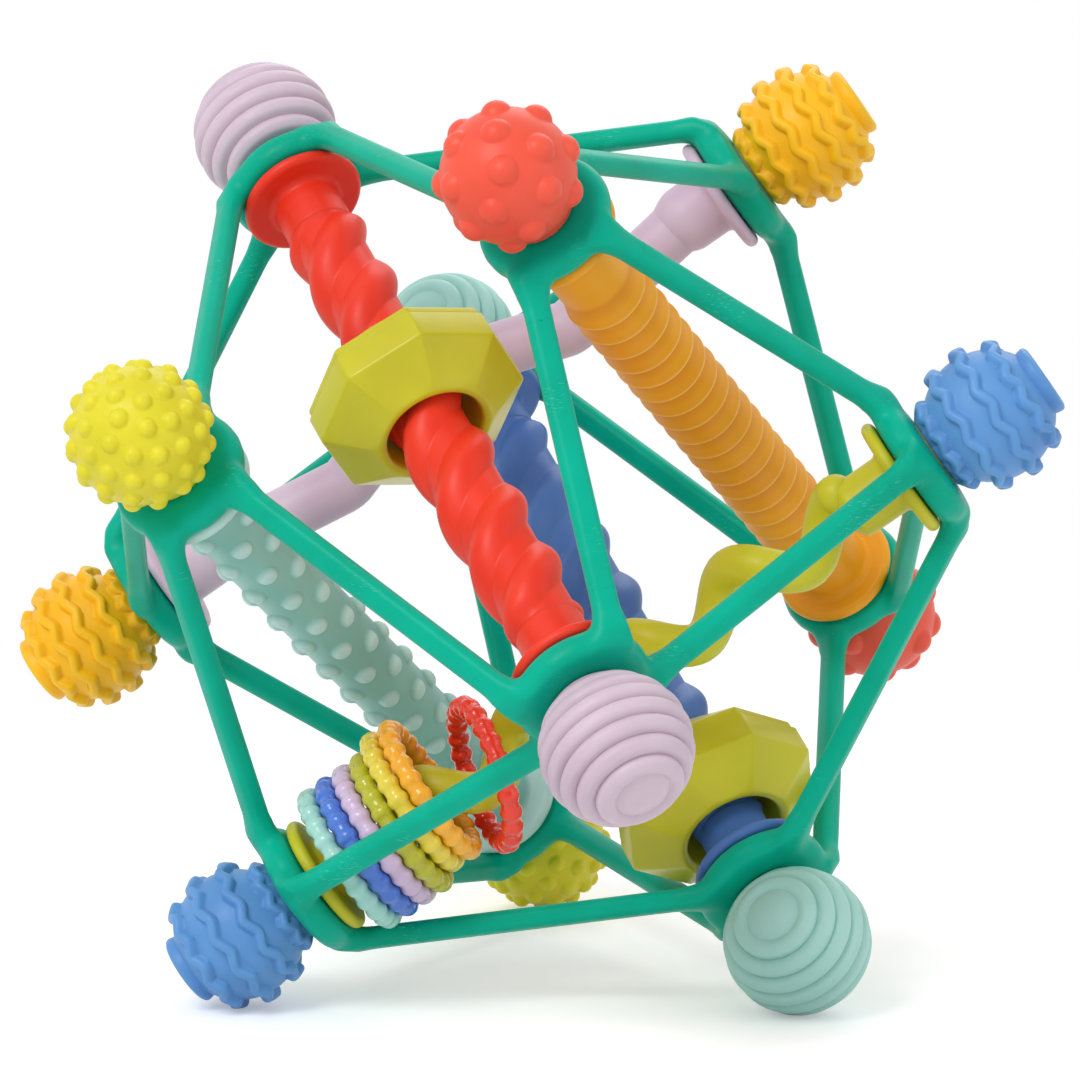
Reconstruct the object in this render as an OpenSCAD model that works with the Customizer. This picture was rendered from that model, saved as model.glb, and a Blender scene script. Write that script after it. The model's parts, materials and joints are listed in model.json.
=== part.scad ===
// Squeeze-ball teether rattle: six rods held apart in an elastic net, with a textured ball on every rod end.
// Millimetres, +Z up, standing on three balls with the origin on the floor under the middle.

/* [Layout] */
// Distance between the two parallel rods of a pair
pair_gap = 64; // [62:0.5:68]
// Distance from the middle of a rod to the middle of each of its eyes
eye_reach = 55; // [54:0.5:58]
// Turn of the whole toy about its upright axis, in degrees
turn = 118.5; // [0:0.5:360]

/* [Net] */
// Width of a strap across its outer face
strap_w = 3.6; // [3:0.1:4.2]
// Thickness of a strap
strap_t = 3; // [2.6:0.1:3.4]
// Rounding of a strap's edges
strap_round = 1.1; // [0.6:0.1:1.2]
// Outer diameter of an eye
eye_d = 20.4; // [20:0.2:21.6]
// Thickness of an eye along its rod
eye_t = 4.8; // [4.4:0.1:5.4]
// Rounding of an eye's outer edges
eye_round = 1.6; // [0.8:0.1:2]
// Length of the stub that joins an eye to a strap
stub_l = 7; // [6:0.5:8]
// Angle around an eye of the two straps on its outer side, in degrees
outer_lug = 54; // [50:1:58]
// Angle around an eye of the two straps on its inner side, in degrees
inner_lug = 128; // [122:1:132]
// Height of the straps above the middle of an eye
lug_rise = 0.6; // [0:0.1:0.8]

/* [Rod ends] */
// Diameter of the flange inside an eye
flange_d = 18.6; // [17.6:0.2:19]
// Thickness of the flange
flange_t = 2; // [1.6:0.1:2.6]
// Diameter of the neck that turns in an eye
neck_d = 10; // [9:0.1:10.6]
// Diameter of the flat seat under a ball
seat_d = 11.2; // [11:0.1:12]
// Gap between an eye and the seat of the ball outside it
seat_gap = 0.3; // [0.2:0.05:0.6]
// Diameter of the peg inside a ball
peg_d = 7.6; // [7:0.1:8]
// Length of the peg inside a ball
peg_l = 11; // [9:0.5:13]

/* [Rod grips] */
// Core diameter of the red and blue twisted rods
twist_core_d = 10; // [9:0.1:10.6]
// Height of the two twisted ridges
twist_ridge = 1.5; // [1:0.1:1.6]
// Length along the rod of one turn of the ridges
twist_pitch = 24.8; // [20:0.1:30]
// Length of the plain stretch at each end of a twisted rod
twist_plain = 7; // [5:0.5:9]
// Rim diameter of the orange rod's ribs
rib_rim_d = 12.8; // [12.2:0.1:13.4]
// Root diameter of the orange rod's ribs
rib_root_d = 11; // [10.4:0.1:11.6]
// Spacing of the orange rod's ribs
rib_pitch = 4.3; // [4:0.1:4.6]
// Number of ribs on the orange rod
rib_cups = 18; // [14:1:20]
// Diameter of the orange rod's plain ends
rib_end_d = 11.4; // [10.8:0.1:12]
// Core diameter of the mint rod
dot_core_d = 10.6; // [10:0.1:11]
// Height of the mint rod's bumps
dot_h = 1.1; // [0.8:0.1:1.3]
// Spacing of the bumps along a row of the mint rod
dot_pitch = 8; // [7.4:0.1:8.8]
// Diameter of the lilac rod's thick ends
zig_end_d = 10.4; // [9.8:0.1:11]
// Length of the lilac rod's thick ends
zig_end_l = 8.5; // [7:0.5:10]
// Diameter of the lilac rod's zigzag
zig_d = 8.6; // [8:0.1:8.8]
// Sideways reach of the lilac rod's zigzag
zig_reach = 3.4; // [2.8:0.1:3.6]
// Diameter of the lime rod's plain ends
cork_end_d = 9.2; // [8.8:0.1:9.8]
// Length of the lime rod's plain ends
cork_end_l = 9; // [7:0.5:11]
// Diameter of the lime rod's corkscrew tube
cork_d = 6.2; // [5.6:0.1:6.6]
// Radius of the corkscrew's winding
cork_reach = 3.2; // [2.8:0.1:3.4]
// Length along the rod of one turn of the corkscrew
cork_pitch = 19; // [17:0.1:21]

/* [Balls] */
// Diameter of a ball over its texture
ball_d = 22; // [21:0.5:23]
// Depth of the grooves between ribs
groove = 0.8; // [0.5:0.1:1]
// Height of the large bumps on the coral balls
big_bump_h = 1.2; // [0.8:0.1:1.4]
// Height of the small bumps on the yellow balls
small_bump_h = 1.1; // [0.8:0.1:1.3]
// Height of the zigzag bands
band_h = 1.3; // [0.8:0.1:1.5]

/* [Olive beads] */
// Diameter of a bead across its corners
bead_d = 32; // [30:0.5:32.5]
// Length of a bead along its rod
bead_l = 16.6; // [15:0.2:18]
// Bore of a bead
bead_bore = 14.8; // [14.2:0.1:15.2]
// Wall of a bead's shells
bead_wall = 1.6; // [1.4:0.1:1.8]
// Length of the upright band round the middle of a bead
bead_band = 6.4; // [5.6:0.2:7]
// Height of the parting line above the middle of a bead
bead_parting = 1.7; // [0:0.1:2]
// Step at the parting line, by which the upper half is smaller
bead_step = 0.5; // [0.3:0.1:0.7]
// Free length between the red rod's bead and its upper flange
red_bead_gap = 35.4; // [0.4:0.2:80]
// Free length between the blue rod's bead and its lower flange
blue_bead_gap = 5.4; // [0.4:0.2:80]
// Diameter of a rattle pellet
pellet_d = 2.8; // [2.4:0.1:3]

/* [Beaded rings] */
// Diameter of a ring along the middle of its beads
ring_d = 21; // [20.4:0.2:21.6]
// Diameter of a ring's beads
ring_bead_d = 3; // [2.8:0.1:3]
// Free height between the lime rod's lower flange and the stack of rings
ring_foot = 1.8; // [1.6:0.1:3]
// Lean of the red ring, which hangs by itself, in degrees
ring_lean = 27; // [0:1:28]
// Free height between the stack of rings and the red ring
ring_hang = 0.15; // [0.1:0.05:4]

/* [Hidden] */
$fn = 64;

// Clearances
neck_play = 0.05;
end_play = 0.15;
peg_fit = 0.1;
ring_gap = 0.12;
half_gap = 0.02;

// Names in the order of the rods: each pair shares one axis
ROD_NAMES = ["red", "blue", "orange", "mint", "lilac", "lime"];
BALL_NAMES = ["lilac", "mint", "coral", "yellow", "orange", "blue"];
END_NAMES = ["upper", "lower"];
STRAP_NAMES = ["red", "blue", "side"];
BEAD_NAMES = ["red", "blue"];
RING_NAMES = ["mint", "blue", "lilac", "olive", "yellow", "orange", "red"];
ROD_COLOURS = ["#ee412f", "#4a6fb0", "#d98a2b", "#86bdb2", "#d6bfd3", "#c8c62f"];
BALL_COLOURS = ["#cdb3d2", "#9ccfc6", "#f0664f", "#e6d92f", "#f7b424", "#5b97d6"];
RING_COLOURS = ["#a9ddd2", "#4f7ed6", "#d3bcd6", "#bdbb2a", "#e5cf45", "#f9a72b", "#ee3a24"];
NET_COLOUR = "#10b090";
BEAD_COLOUR = "#c2bd2e";
PELLET_COLOUR = "#e8e8e4";

// Places along a rod, from its middle outwards
tilt = asin(1 / sqrt(3));
side = pair_gap / 2;
flange_face = eye_reach - eye_t / 2 - end_play - flange_t;
seat_face = eye_reach + eye_t / 2 + seat_gap;
ball_seat = sqrt(pow(ball_d / 2, 2) - pow(seat_d / 2, 2));
ball_reach = seat_face + ball_seat;
rest_h = (ball_reach + side) * sin(tilt) + ball_d / 2;
snap_r = 0.7;
snap_at = 0.6 * peg_l;

// Straps leave an eye from just inside its rim
lug_r = eye_d / 2 - 0.3;
stub_root = 2;

// Steps in the faceted shapes
twist_steps = 16;
twist_sides = 20;
twist_start = -62;
ridges = 2;
ridge_half = 62;
cork_steps = 14;
cork_start = -46;
cork_sides = 10;
embed = 1.5;
end_swell = 0.3;
end_lap = 0.6;
knee = 0.2;
rib_lip = 0.5;
zig_parts = 4;
down = 225;
dot_rows = 8;
dot_d = 3.4;
dot_clear = 5;
band_teeth = 12;
band_swing = 2.8;
band_foot = 5.4;
band_top = 3.4;
band_last = 63;
orange_bands = 5;
orange_first = -32;
blue_bands = 4;
blue_first = -22;
rib_count = 8;
rib_cap = 66;
cap_drop = 0.6;
big_bumps = 26;
big_bump_r = 2.4;
small_bumps = 78;
small_bump_r = 1.55;
seat_boss = 2;
ring_beads = 24;
ring_drops = [0, 0, 0, 0, -1.6, -1.6, 1.2];
pellets = 7;
pellet_room = 0.6;
pellet_gap = 0.2;
bead_turns = [27, 0];

// Rod i lies along axis floor(i / 2), on its positive side for even i
function axis_of(i) = floor(i / 2);
function side_of(i) = i % 2 == 0 ? 1 : -1;
function end_of(j) = j == 0 ? 1 : -1;
function along(k, p) = k == 0 ? [p[2], p[0], p[1]] : k == 1 ? [p[1], p[2], p[0]] : p;

// The cube of rod axes stands on one corner
module stand() {
    translate([0, 0, rest_h]) rotate([0, 0, turn + 240]) rotate([0, 90 - tilt, 0]) rotate([0, 0, 135]) children();
}

module along_axis(k) {
    rotate(a = 120 * (k + 1), v = [1, 1, 1]) children();
}

// A rod's own frame: z along the rod, x away from the middle of the toy for the positive side
module on_rod(i) {
    stand() along_axis(axis_of(i)) translate([side_of(i) * side, 0, 0]) children();
}

// Elastic net

module strap_section() {
    square([strap_w - 2 * strap_round, strap_t], center = true);
    square([strap_w, strap_t - 2 * strap_round], center = true);
    for (x = [-1, 1], y = [-1, 1])
        translate([x * (strap_w / 2 - strap_round), y * (strap_t / 2 - strap_round)]) circle(r = strap_round);
}

// Strap section drawn from a to b with its wide face towards out
module bar(a, b, out) {
    d = b - a;
    swing = atan2(d[1], d[0]);
    lean = acos(d[2] / norm(d));
    across = [cos(lean) * cos(swing), cos(lean) * sin(swing), -sin(lean)];
    level = [-sin(swing), cos(swing), 0];
    translate(a) rotate([0, lean, swing]) rotate([0, 0, atan2(-out * across, out * level)])
        linear_extrude(norm(d)) strap_section();
}

// Strap from the outer side of eye (k, s, e) to the inner side of eye (k + 1, t, s)
function strap_start(k, s, e, t) = along(k,
    [s * (side + lug_r * cos(outer_lug)), t * lug_r * sin(outer_lug), e * (eye_reach + lug_rise)]);
function strap_stop(k, s, e, t) = along((k + 1) % 3,
    [t * (side + lug_r * cos(inner_lug)), e * lug_r * sin(inner_lug), s * (eye_reach + lug_rise)]);
function unit(v) = v / norm(v);

module strap(k, s, e, t) {
    a = strap_start(k, s, e, t);
    b = strap_stop(k, s, e, t);
    u = unit(b - a);
    bar(a + stub_l * u, b - stub_l * u, a + b);
}

module stub(a, b) {
    u = unit(b - a);
    bar(a - stub_root * u, a + stub_l * u, a + b);
}

module eye_ring() {
    rotate_extrude() {
        translate([0, -eye_t / 2]) square([eye_d / 2 - eye_round, eye_t]);
        translate([0, eye_round - eye_t / 2]) square([eye_d / 2, eye_t - 2 * eye_round]);
        for (y = [-1, 1]) translate([eye_d / 2 - eye_round, y * (eye_t / 2 - eye_round)]) circle(r = eye_round);
    }
}

module eye(i, j) {
    k = axis_of(i);
    s = side_of(i);
    e = end_of(j);
    color(NET_COLOUR) stand() difference() {
        union() {
            along_axis(k) translate([s * side, 0, e * eye_reach]) eye_ring();
            for (t = [-1, 1]) {
                stub(strap_start(k, s, e, t), strap_stop(k, s, e, t));
                stub(strap_stop((k + 2) % 3, e, t, s), strap_start((k + 2) % 3, e, t, s));
            }
        }
        along_axis(k) translate([s * side, 0, e * eye_reach]) {
            cylinder(d = neck_d + 2 * neck_play, h = 4 * eye_t, center = true);
            translate([0, 0, e * (eye_t / 2 + eye_d / 2)]) cylinder(d = 2 * eye_d, h = eye_d, center = true);
        }
    }
}

// Group 0 holds the straps on the red rod's eyes, group 1 those on the blue rod's eyes, group 2 the others
function strap_group(k, s, t) = k == 1 ? 2 : (k == 0 ? s : t) == 1 ? 0 : 1;

module straps(g) {
    color(NET_COLOUR) stand() for (k = [0 : 2], s = [-1, 1], e = [-1, 1], t = [-1, 1])
        if (strap_group(k, s, t) == g) strap(k, s, e, t);
}

// Rods

module peg(grow) {
    cylinder(d = peg_d + 2 * grow, h = peg_l + grow);
    translate([0, 0, snap_at]) rotate_extrude() translate([peg_d / 2, 0]) circle(r = snap_r + grow);
}

module rod_end() {
    translate([0, 0, flange_face]) rotate_extrude() {
        square([flange_d / 2 - flange_t / 2, flange_t]);
        translate([flange_d / 2 - flange_t / 2, flange_t / 2]) circle(d = flange_t);
    }
    translate([0, 0, flange_face]) cylinder(d = neck_d, h = seat_face - flange_face);
    translate([0, 0, seat_face]) peg(0);
}

module both_ends() {
    rod_end();
    mirror([0, 0, 1]) rod_end();
}

// Plain stretches of length l at both ends of a grip
module plain_ends(d, l) {
    for (m = [0, 1]) mirror([0, 0, m]) translate([0, 0, flange_face - l]) cylinder(d = d, h = l + flange_t / 2);
}

// Radius at an angle from the middle of a ridge
function ridge_r(a) = twist_core_d / 2 + (abs(a) < ridge_half ? twist_ridge * cos(90 * a / ridge_half) : 0);
function from_ridge(a) = let (gap = 360 / ridges) a - gap * round(a / gap);

module twist_grip() {
    l = 2 * (flange_face - twist_plain);
    outline = [for (n = [0 : twist_sides - 1]) let (a = 360 * n / twist_sides)
        ridge_r(from_ridge(a)) * [cos(a), sin(a)]];
    turns = l / twist_pitch;
    rotate([0, 0, twist_start]) linear_extrude(height = l, center = true, twist = -360 * turns,
        slices = ceil(twist_steps * turns), $fn = twist_sides) polygon(outline);
    plain_ends(twist_core_d + end_swell, twist_plain + end_lap);
}

module rib_grip() {
    low = -rib_cups * rib_pitch / 2;
    cups = [for (n = [0 : rib_cups - 1]) each [
        [rib_rim_d / 2, low + n * rib_pitch],
        [rib_rim_d / 2, low + n * rib_pitch + rib_lip],
        [rib_root_d / 2, low + (n + 1) * rib_pitch]]];
    rotate_extrude() polygon(concat([[0, low]], cups, [[0, -low]]));
    plain_ends(rib_end_d, flange_face + low + end_lap);
}

module dot_grip() {
    cylinder(d = dot_core_d, h = 2 * flange_face + flange_t, center = true);
    reach = flange_face - dot_clear;
    dot_r = (pow(dot_d / 2, 2) + pow(dot_h, 2)) / (2 * dot_h);
    for (row = [0 : dot_rows - 1], n = [-6 : 6]) {
        z = (n + (row % 2) / 2) * dot_pitch;
        if (abs(z) < reach)
            rotate([0, 0, 360 * row / dot_rows]) translate([dot_core_d / 2 + dot_h - dot_r, 0, z])
                sphere(r = dot_r, $fn = 32);
    }
}

module zig_grip() {
    l = 2 * (flange_face - zig_end_l);
    points = [for (n = [0 : zig_parts])
        n == 0 ? [0, 0, -l / 2 - embed] : n == zig_parts ? [0, 0, l / 2 + embed]
        : [(n % 2 == 1 ? 1 : -1) * zig_reach, 0, (n / zig_parts - 0.5) * l]];
    plain_ends(zig_end_d, zig_end_l);
    rotate([0, 0, down]) {
        for (n = [0 : zig_parts - 1]) {
            d = points[n + 1] - points[n];
            translate(points[n]) rotate([0, atan2(d[0], d[2]), 0]) cylinder(d = zig_d, h = norm(d));
        }
        for (n = [1 : zig_parts - 1]) translate(points[n]) sphere(d = zig_d + knee);
    }
}

// Middle line of the corkscrew
function cork_turn(z) = cork_start + 360 * z / cork_pitch;
function cork_point(z) = [cork_reach * cos(cork_turn(z)), cork_reach * sin(cork_turn(z)), z];

module cork_grip() {
    l = 2 * (flange_face - cork_end_l) + embed;
    rings = ceil(cork_steps * l / cork_pitch);
    rise = atan(cork_pitch / (2 * PI * cork_reach));
    points = [for (n = [0 : rings]) let (
        z = (n / rings - 0.5) * l,
        a = cork_turn(z),
        out = [cos(a), sin(a), 0],
        up = [-sin(rise) * sin(a), sin(rise) * cos(a), -cos(rise)])
        for (m = [0 : cork_sides - 1]) let (w = 360 * m / cork_sides)
            cork_point(z) + cork_d / 2 * (cos(w) * out + sin(w) * up)];
    walls = [for (n = [0 : rings - 1], m = [0 : cork_sides - 1]) let (
        a = n * cork_sides + m, b = n * cork_sides + (m + 1) % cork_sides)
        each [[a, a + cork_sides, b + cork_sides], [a, b + cork_sides, b]]];
    polyhedron(points, concat(walls,
        [[for (m = [0 : cork_sides - 1]) m]],
        [[for (m = [cork_sides - 1 : -1 : 0]) rings * cork_sides + m]]));
    for (e = [-1, 1]) translate(cork_point(e * l / 2)) sphere(d = cork_d + knee);
    plain_ends(cork_end_d, cork_end_l);
}

module rod(i) {
    color(ROD_COLOURS[i]) on_rod(i) {
        both_ends();
        if (i < 2) twist_grip();
        if (i == 2) rib_grip();
        if (i == 3) dot_grip();
        if (i == 4) zig_grip();
        if (i == 5) cork_grip();
    }
}

// Balls: the middle of the ball is the origin and the rod comes in from below

module ribbed_body() {
    steps = 6;
    r = ball_d / 2;
    count = rib_count * steps;
    outline = [for (n = [0 : count]) let (a = (2 * n / count - 1) * rib_cap)
        (r - groove * pow(1 - abs(sin(180 * n / steps)), 2)) * [cos(a), sin(a)]];
    cap = [for (m = [1 : steps]) let (a = rib_cap + (90 - rib_cap) * m / steps)
        (r - groove + (groove - cap_drop) * sin(90 * m / steps)) * [cos(a), sin(a)]];
    foot = [for (m = [steps : -1 : 1]) [cap[m - 1][0], -cap[m - 1][1]]];
    rotate_extrude() polygon(concat(foot, outline, cap));
}

// Directions spread evenly over a ball
function spread(n, count) = let (z = 1 - (2 * n + 1) / count, a = n * 137.508)
    [sqrt(1 - z * z) * cos(a), sqrt(1 - z * z) * sin(a), z];

module bumpy_body(count, h, bump_r) {
    r = ball_d / 2;
    sphere(r = r - h);
    translate([0, 0, -ball_seat]) cylinder(d = seat_d, h = seat_boss);
    for (n = [0 : count - 1]) let (d = spread(n, count))
        if (d[2] * r > bump_r - ball_seat) rotate([0, acos(d[2]), atan2(d[1], d[0])])
            translate([0, 0, r - bump_r]) sphere(r = bump_r, $fn = 32);
}

// Zigzag bands climb from the latitude of the first one, and the last one, near the pole, is a plain ring
module zigzag_body(bands, first) {
    r = ball_d / 2;
    low = r - band_h;
    sides = 2 * band_teeth;
    gap = (band_last - first) / (bands - 1);
    rings = [for (b = [0 : bands - 1]) let (a = first + b * gap, w = b < bands - 1 ? band_swing : 0)
        each [[a - band_foot, low, w], [a - band_top, r, w], [a + band_top, r, w], [a + band_foot, low, w]]];
    last = len(rings);
    points = concat(
        [for (n = [0 : sides - 1]) let (w = 360 * n / sides)
            [seat_d / 2 * cos(w), seat_d / 2 * sin(w), -ball_seat]],
        [for (ring = rings, n = [0 : sides - 1]) let (
            a = ring[0] + ring[2] * (n % 2 == 0 ? 1 : -1), w = 360 * n / sides)
            ring[1] * [cos(a) * cos(w), cos(a) * sin(w), sin(a)]],
        [[0, 0, low]]);
    walls = [for (k = [0 : last - 1], n = [0 : sides - 1]) let (
        a = k * sides + n, b = k * sides + (n + 1) % sides)
        each [[a, a + sides, b + sides], [a, b + sides, b]]];
    seat = [[for (n = [0 : sides - 1]) n]];
    cap = [for (n = [0 : sides - 1]) [last * sides + (n + 1) % sides, last * sides + n, len(points) - 1]];
    polyhedron(points, concat(walls, seat, cap));
}

module ball_body(i) {
    if (i == 0) ribbed_body();
    if (i == 1) rotate([0, 90, 0]) ribbed_body();
    if (i == 2) bumpy_body(big_bumps, big_bump_h, big_bump_r);
    if (i == 3) bumpy_body(small_bumps, small_bump_h, small_bump_r);
    if (i == 4) zigzag_body(orange_bands, orange_first);
    if (i == 5) zigzag_body(blue_bands, blue_first);
}

module ball(i, j) {
    color(BALL_COLOURS[i]) on_rod(i) mirror([0, 0, j]) translate([0, 0, ball_reach]) difference() {
        ball_body(i);
        if (i < 4) translate([0, 0, -ball_seat - ball_d]) cylinder(d = 2 * ball_d, h = ball_d);
        translate([0, 0, -ball_seat]) peg(peg_fit);
    }
}

// Olive beads: the middle of the bead is the origin

// Solid nut of radius r, shrunk by inset at both faces
module bead_nut(r, inset) {
    cone = (bead_l - bead_band) / 2;
    lip_r = bead_bore / 2 + bead_wall;
    translate([0, 0, -bead_band / 2]) cylinder(r = r, h = bead_band, $fn = 8);
    for (m = [0, 1]) mirror([0, 0, m]) translate([0, 0, bead_band / 2])
        cylinder(r1 = r, r2 = lip_r, h = cone - inset, $fn = 8);
}

// Shell of the whole bead, of which a half keeps the part on its own side of the parting plane
module bead_half(j) {
    r = bead_d / 2 - (j == 0 ? bead_step : 0);
    difference() {
        bead_nut(r, 0);
        cylinder(d = bead_bore, h = 2 * bead_l, center = true);
        difference() {
            bead_nut(r - bead_wall / cos(22.5), bead_wall);
            cylinder(d = bead_bore + 2 * bead_wall, h = 2 * bead_l, center = true);
        }
        translate([0, 0, bead_parting + (j == 0 ? half_gap / 2 - bead_l : -half_gap / 2)])
            cylinder(d = 2 * bead_d, h = bead_l);
    }
}

function bead_at(b) = b == 0 ? flange_face - bead_l / 2 - red_bead_gap : blue_bead_gap + bead_l / 2 - flange_face;

module bead(b, j) {
    color(BEAD_COLOUR) on_rod(b) translate([0, 0, bead_at(b)]) rotate([0, 0, bead_turns[b]]) bead_half(j);
}

// Pellets lie along the lowest wall of the hollow, on the side that faces down
module bead_pellets(b) {
    wall_r = (bead_d / 2 - bead_step) * cos(22.5) - bead_wall;
    lie_r = wall_r - pellet_d / 2 - pellet_room;
    step = 2 * asin((pellet_d + pellet_gap) / 2 / lie_r);
    color(PELLET_COLOUR) on_rod(b) translate([0, 0, bead_at(b)]) for (n = [0 : pellets - 1])
        rotate([0, 0, down + (n - (pellets - 1) / 2) * step]) translate([lie_r, 0, 0])
            sphere(d = pellet_d, $fn = 24);
}

// Beaded rings on the lime rod, stacked from its lower flange upwards
ring_step = ring_bead_d + ring_gap;
function ring_z(n) = n < 6 ? -flange_face + ring_foot + ring_bead_d / 2 + n * ring_step
    : ring_z(5) + ring_bead_d + ring_hang + ring_d / 2 * sin(ring_lean);

module ring(n) {
    drop = ring_drops[n] * [cos(down), sin(down), 0];
    color(RING_COLOURS[n]) on_rod(5) translate(drop + [0, 0, ring_z(n)]) rotate([n == 6 ? ring_lean : 0, 0, 0])
        for (m = [0 : ring_beads - 1]) rotate([0, 0, 360 * m / ring_beads]) translate([ring_d / 2, 0, 0])
            sphere(d = ring_bead_d, $fn = 24);
}

for (i = [0 : 5]) {
    rod(i);
    for (j = [0, 1]) {
        ball(i, j);
        eye(i, j);
    }
}
for (g = [0 : 2]) straps(g);
for (b = [0, 1]) {
    for (j = [0, 1]) bead(b, j);
    bead_pellets(b);
}
for (n = [0 : 6]) ring(n);
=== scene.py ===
# %% [markdown]
# # A squeeze-ball teether rattle
# Six soft rods are held apart by an elastic net, so the toy springs back when a baby squeezes it.
# Every rod has its own grip texture and a textured ball on each end. Two rattle beads and seven
# beaded rings slide on the rods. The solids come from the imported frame. This lesson models each
# piece finely over its solid and finishes it.

# %% Load the frame
import json
import math

import bpy
import numpy as np
from mathutils import Matrix, Vector


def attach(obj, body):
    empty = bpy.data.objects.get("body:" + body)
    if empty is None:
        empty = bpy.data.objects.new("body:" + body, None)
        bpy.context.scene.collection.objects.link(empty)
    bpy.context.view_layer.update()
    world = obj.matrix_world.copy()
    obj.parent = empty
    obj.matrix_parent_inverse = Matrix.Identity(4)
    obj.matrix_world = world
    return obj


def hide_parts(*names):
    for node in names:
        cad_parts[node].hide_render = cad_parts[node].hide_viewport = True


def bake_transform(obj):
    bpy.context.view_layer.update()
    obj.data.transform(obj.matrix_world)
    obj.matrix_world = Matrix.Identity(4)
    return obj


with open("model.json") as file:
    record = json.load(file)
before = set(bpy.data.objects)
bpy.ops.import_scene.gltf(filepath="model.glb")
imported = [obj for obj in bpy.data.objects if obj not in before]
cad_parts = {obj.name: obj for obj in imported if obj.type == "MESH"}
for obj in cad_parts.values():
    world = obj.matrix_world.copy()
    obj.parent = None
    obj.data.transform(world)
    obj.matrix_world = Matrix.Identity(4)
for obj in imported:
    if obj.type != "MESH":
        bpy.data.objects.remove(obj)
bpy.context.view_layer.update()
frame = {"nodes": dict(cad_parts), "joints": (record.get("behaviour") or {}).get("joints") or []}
MM = 0.001

# %% [markdown]
# ## Where the rods lie
# The six rods form three parallel pairs at right angles to each other, like the axes of a cube that
# stands on one corner. The spin joints of the frame give each rod's middle and direction. A rod's
# own frame has z along the rod and x away from the middle of the toy, so every piece is modelled
# upright and then put in place.

# %% Read the rod frames from the spin joints
RODS = ("red", "blue", "orange", "mint", "lilac", "lime")
BALLS = ("lilac", "mint", "coral", "yellow", "orange", "blue")
ENDS = {"upper": 1, "lower": -1}
joints = {joint["name"]: joint for joint in frame["joints"]}
axes = [Vector(joints[f"{name}_rod_spin"]["axis"]).normalized() for name in ("red", "orange", "lilac")]


def rod_frame(rod):
    """Placement of a rod's own frame in the toy."""
    k = RODS.index(rod) // 2
    place = Matrix((axes[(k + 1) % 3], axes[(k + 2) % 3], axes[k])).transposed().to_4x4()
    place.translation = Vector(joints[f"{rod}_rod_spin"]["pos_m"])
    return place


middle = sum((rod_frame(rod).translation for rod in RODS), Vector()) / len(RODS)
SIDE = (rod_frame("red").translation - middle).length / MM
print(f"rods lie {SIDE:.1f} mm from the toy's middle, which is {middle.z / MM:.1f} mm above the floor")

# %% [markdown]
# ## Camera, floor and light
# The photo was taken from almost a metre away with a long lens, a little above the toy. The lens is
# worked out from the picture's focal length in pixels. A pale floor and a white world make the
# plain background: both turn white only for the camera, so no extra light falls on the toy. The
# floor keeps the toy's shadow and turns plain white further away.

# %% Set up the camera
PHOTO_PX = 1080
FOCAL_PX = 5982
CAMERA_FAR = 896 * MM
CAMERA_RISE = math.radians(8.4)
TOY_AT_PX = (526.25, 529.46)
SENSOR = 36

camera = bpy.data.objects.new("camera", bpy.data.cameras.new("camera"))
bpy.context.scene.collection.objects.link(camera)
camera.data.sensor_width = SENSOR
camera.data.lens = SENSOR * FOCAL_PX / PHOTO_PX
camera.data.shift_x = 0.5 - TOY_AT_PX[0] / PHOTO_PX
camera.data.shift_y = TOY_AT_PX[1] / PHOTO_PX - 0.5
camera.location = middle + CAMERA_FAR * Vector((0, -math.cos(CAMERA_RISE), math.sin(CAMERA_RISE)))
camera.rotation_euler = (math.radians(90) - CAMERA_RISE, 0, 0)
bpy.context.scene.camera = camera
bpy.context.scene.view_settings.view_transform = "Standard"
print(f"camera with a {camera.data.lens:.0f} mm lens at {camera.location.length:.2f} m")


# %% Helpers for materials: colour and nodes
def linear(hex_colour):
    """An sRGB hex colour as linear red, green, blue and alpha."""
    parts = [int(hex_colour[n:n + 2], 16) / 255 for n in (1, 3, 5)]
    return [c / 12.92 if c <= 0.04045 else ((c + 0.055) / 1.055) ** 2.4 for c in parts] + [1]


def add_node(tree, kind, links=None, settings=None, **values):
    """Adds a node, sets its properties and input values, and links inputs to other nodes' outputs."""
    node = tree.nodes.new(kind)
    for name, value in (settings or {}).items():
        setattr(node, name, value)
    for name, value in values.items():
        node.inputs[name.replace("_", " ")].default_value = value
    for name, output in (links or {}).items():
        tree.links.new(output, node.inputs[name])
    return node


def new_material(name):
    """An empty node material and its output node."""
    material = bpy.data.materials.new(name)
    material.use_nodes = True
    material.node_tree.nodes.clear()
    output = add_node(material.node_tree, "ShaderNodeOutputMaterial")
    return material, material.node_tree, output


# %% White world and paper floor
FLOOR_SPAN = 30.0
WORLD_FILL = 0.68
PAPER = "#f4f4f4"
PAPER_GLOW = 0.3
FADE_FROM = 80 * MM
FADE_TO = 320 * MM


def camera_only(tree):
    """One for rays that show the background: straight from the camera, mirrored or refracted."""
    path = add_node(tree, "ShaderNodeLightPath")
    shows = path.outputs["Is Camera Ray"]
    for kind in ("Is Glossy Ray", "Is Transmission Ray"):
        either = add_node(tree, "ShaderNodeMath", {0: shows, 1: path.outputs[kind]},
                          {"operation": "MAXIMUM"})
        shows = either.outputs[0]
    return shows


world = bpy.data.worlds.new("white_studio")
world.use_nodes = True
world.node_tree.nodes.clear()
fill = add_node(world.node_tree, "ShaderNodeBackground", Color=(1, 1, 1, 1), Strength=WORLD_FILL)
white = add_node(world.node_tree, "ShaderNodeBackground", Color=(1, 1, 1, 1), Strength=1.0)
sky = add_node(world.node_tree, "ShaderNodeMixShader",
               {0: camera_only(world.node_tree), 1: fill.outputs[0], 2: white.outputs[0]})
add_node(world.node_tree, "ShaderNodeOutputWorld", {"Surface": sky.outputs[0]})
bpy.context.scene.world = world

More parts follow.
